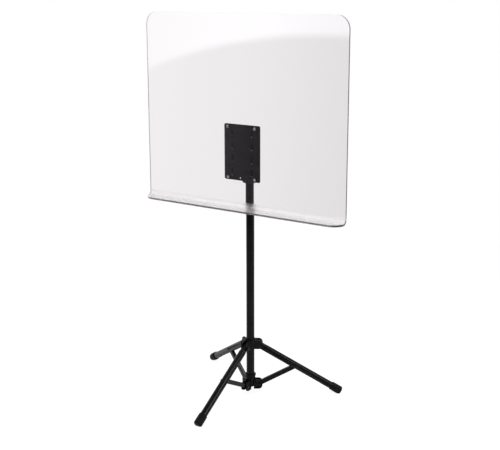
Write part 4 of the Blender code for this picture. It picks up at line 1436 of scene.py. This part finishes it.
def plate_mesh():
    """The flat plate with everything cut into it."""
    half, top = PLATE_WIDTH / 2, PLATE_HEIGHT / 2
    corners = [(-half, -top), (half, -top), (half, top), (-half, top)]
    outline = softened([(x, PLATE_MIDDLE + z, PLATE_CORNER) for x, z in corners], 10)
    cuts = recess_shapes()
    for x, z in BOLT_PLACES.values():
        place = Matrix.Translation((x, 0.0, z)) @ OUTWARD
        cuts.append(bar(BOLT_HOLE_R, PLATE_BACK - SPARE, PLATE_FRONT + SPARE, place))
    small = Matrix.Translation((SMALL_HOLE[0], 0.0, SMALL_HOLE[1])) @ OUTWARD
    cuts.append(bar(SMALL_HOLE_R, PLATE_BACK - SPARE, PLATE_FRONT + SPARE, small))
    blank = drawn(outline, PLATE_BACK, PLATE_FRONT, OUTWARD)
    return worked(blank, cut=[together(cuts)], edge=0.5 * MM)


def plate_coat(face):
    """A face's finish: 0 for the flat coat, 1 for painted shade in a recess, 2 for a painted glint
    on a rim.
    """
    in_column = abs(abs(face.center.x) - RECESS_COLUMN) < RECESS_WIDTH / 2 + MM
    depth = PLATE_FRONT + face.center.y
    if not in_column or depth > RECESS_DEPTH + SLACK or depth < ON_FRONT:
        return 0
    glint_to = GLINT_DEPTH_RIGHT if face.center.x > 0.0 else GLINT_DEPTH_LEFT
    return 2 if depth < glint_to and face.normal.z > GLINT_TILT else 1


plate = plate_mesh()
# Coat 1 is the painted shade of the recess floors, and coat 2 is the painted glint on their rims.
for coat in ("flat_coat", "painted_recess_shade", "painted_glint"):
    plate.materials.append(FINISHES[coat])
for face in plate.polygons:
    face.material_index = plate_coat(face)
piece("steel_plate", plate, "black_powder_coat", "shield", STAND, "mount_plate")
coats = [face.material_index for face in plate.polygons]
print("plate faces in the three coats:", [coats.count(i) for i in range(3)])

# %% [markdown]
# Four pan-head screws clamp the sheet to the plate, with a washer and a nut on each at the
# back. They are the only bright things on the front of the stand.

# %% Screws of the sheet
BOLT_R = 2 * MM
BOLT_HEAD_R = 3.8 * MM
BOLT_HEAD = 2.6 * MM
BOLT_END = 1.5 * MM
WASHER_R = 4.5 * MM
WASHER_THICK = 0.8 * MM
NUT_R = 4.04 * MM
NUT_THICK = 3.2 * MM

washer_seat = PLATE_BACK - AIR
nut_seat = washer_seat - WASHER_THICK - AIR
bolt_shank = PANEL_FRONT + AIR - nut_seat + NUT_THICK + BOLT_END
sheet_screw = pan_screw(BOLT_HEAD_R, BOLT_HEAD, BOLT_R, bolt_shank, 2.1 * MM, 0.7 * MM)
sheet_washer = washer(WASHER_R, BOLT_HOLE_R, washer_seat - WASHER_THICK, washer_seat)
sheet_nut = hex_nut(NUT_R, BOLT_HOLE_R, nut_seat - NUT_THICK, nut_seat)
for corner, (x, z) in BOLT_PLACES.items():
    line = STAND @ Matrix.Translation((x, 0.0, z)) @ OUTWARD
    head_place = line @ Matrix.Translation((0.0, 0.0, PANEL_FRONT + AIR))
    for word, mesh, place, node in (
        ("screw", sheet_screw, head_place, "panel_bolt"),
        ("washer", sheet_washer, line, "panel_washer"),
        ("nut", sheet_nut, line, "panel_nut"),
    ):
        piece(f"sheet_{word}_{corner}", mesh, "zinc_steel", "shield", place, f"{node}_{corner}")
print("screws", len(sheet_screw.polygons), "faces each")

# %% [markdown]
# The sheet is heated along one line and bent over a bar, so its lower edge stands forward
# as a short lip. Its side view is drawn across the width, the corners are cut round, and
# the sawn edges are polished, which leaves a narrow round on them. The faces round the rim
# get the edge finish, whose painted shade stands in for how dark clear sheet looks through
# its edge.

# %% Sheet
PANEL_WIDTH = 610 * MM
PANEL_TOP = 1036 * MM
PANEL_BOTTOM = 528 * MM
PANEL_BEND = 10 * MM
PANEL_LIP = 35 * MM
PANEL_CORNER = 35 * MM
SHEET_HOLE_R = 2.6 * MM
RIM_TILT = 0.3


def corner_waste(corner, inward, radius):
    """What a round corner leaves over, from its arc to just past the square corner."""
    centre = (corner[0] + inward[0] * radius, corner[1] + inward[1] * radius)
    beyond = (corner[0] - inward[0] * SPARE, corner[1] - inward[1] * SPARE)
    outline = []
    for x, y in arc((0.0, 0.0), radius, 0, 90, 24):
        outline.append((centre[0] - inward[0] * x, centre[1] - inward[1] * y))
    return outline + [(centre[0], beyond[1]), beyond, (beyond[0], centre[1])]


def sheet_mesh():
    """The bent sheet with its corners, screw holes and polished rim."""
    front, back = PANEL_FRONT, PANEL_FRONT - PANEL_THICK
    bend_z = PANEL_BOTTOM + PANEL_THICK + PANEL_BEND
    bend_centre = (front + PANEL_BEND, bend_z)
    tip = front + PANEL_LIP
    outline = [(back, PANEL_TOP)] + arc(bend_centre, PANEL_BEND + PANEL_THICK, 180, 270, 20)
    outline += [(tip, PANEL_BOTTOM), (tip, PANEL_BOTTOM + PANEL_THICK)]
    outline += arc(bend_centre, PANEL_BEND, 270, 180, 20) + [(front, PANEL_TOP)]
    half = PANEL_WIDTH / 2
    cuts = []
    for across in (-1, 1):
        top = corner_waste((across * half, PANEL_TOP), (-across, -1), PANEL_CORNER)
        cuts.append(drawn(top, back - SPARE, front + SPARE, OUTWARD))
        lip = corner_waste((across * half, -tip), (-across, 1), PANEL_CORNER)
        cuts.append(drawn(lip, PANEL_BOTTOM - SPARE, bend_z + SPARE))
    for x, z in BOLT_PLACES.values():
        place = Matrix.Translation((x, 0.0, z)) @ OUTWARD
        cuts.append(bar(SHEET_HOLE_R, back - SPARE, front + SPARE, place))
    blank = drawn(outline, -half, half, PROFILE)
    return worked(blank, cut=[together(cuts)], edge=0.5 * MM, steps=3)


def is_rim(face):
    """Whether a face of the sheet belongs to its sawn rim."""
    on_lip = -face.center.y > PANEL_FRONT + PANEL_BEND
    upright = face.center.z > PANEL_BOTTOM + PANEL_THICK + PANEL_BEND
    at_side = abs(face.normal.x) > RIM_TILT
    on_top = upright and face.normal.z > RIM_TILT
    at_tip = on_lip and -face.normal.y > RIM_TILT
    return at_side or on_top or at_tip


sheet = sheet_mesh()
sheet.materials.append(FINISHES["clear_acrylic"])
sheet.materials.append(FINISHES["acrylic_edge"])
for face in sheet.polygons:
    face.material_index = 1 if is_rim(face) else 0
piece("clear_sheet", sheet, "clear_acrylic", "shield", STAND, "shield_panel")
print("sheet", len(sheet.polygons), "faces")

# %% [markdown]
# Two pieces are hidden inside: the split ring in the clutch and the guide on the rod's
# lower end. Their plain solids are right as they are, so they stay and only get a finish.

# %% Hidden pieces
for name in ("clutch_collet", "rod_guide"):
    slots = frame["nodes"][name].data.materials
    slots.clear()
    slots.append(FINISHES["black_plastic"])
print("hidden pieces finished")
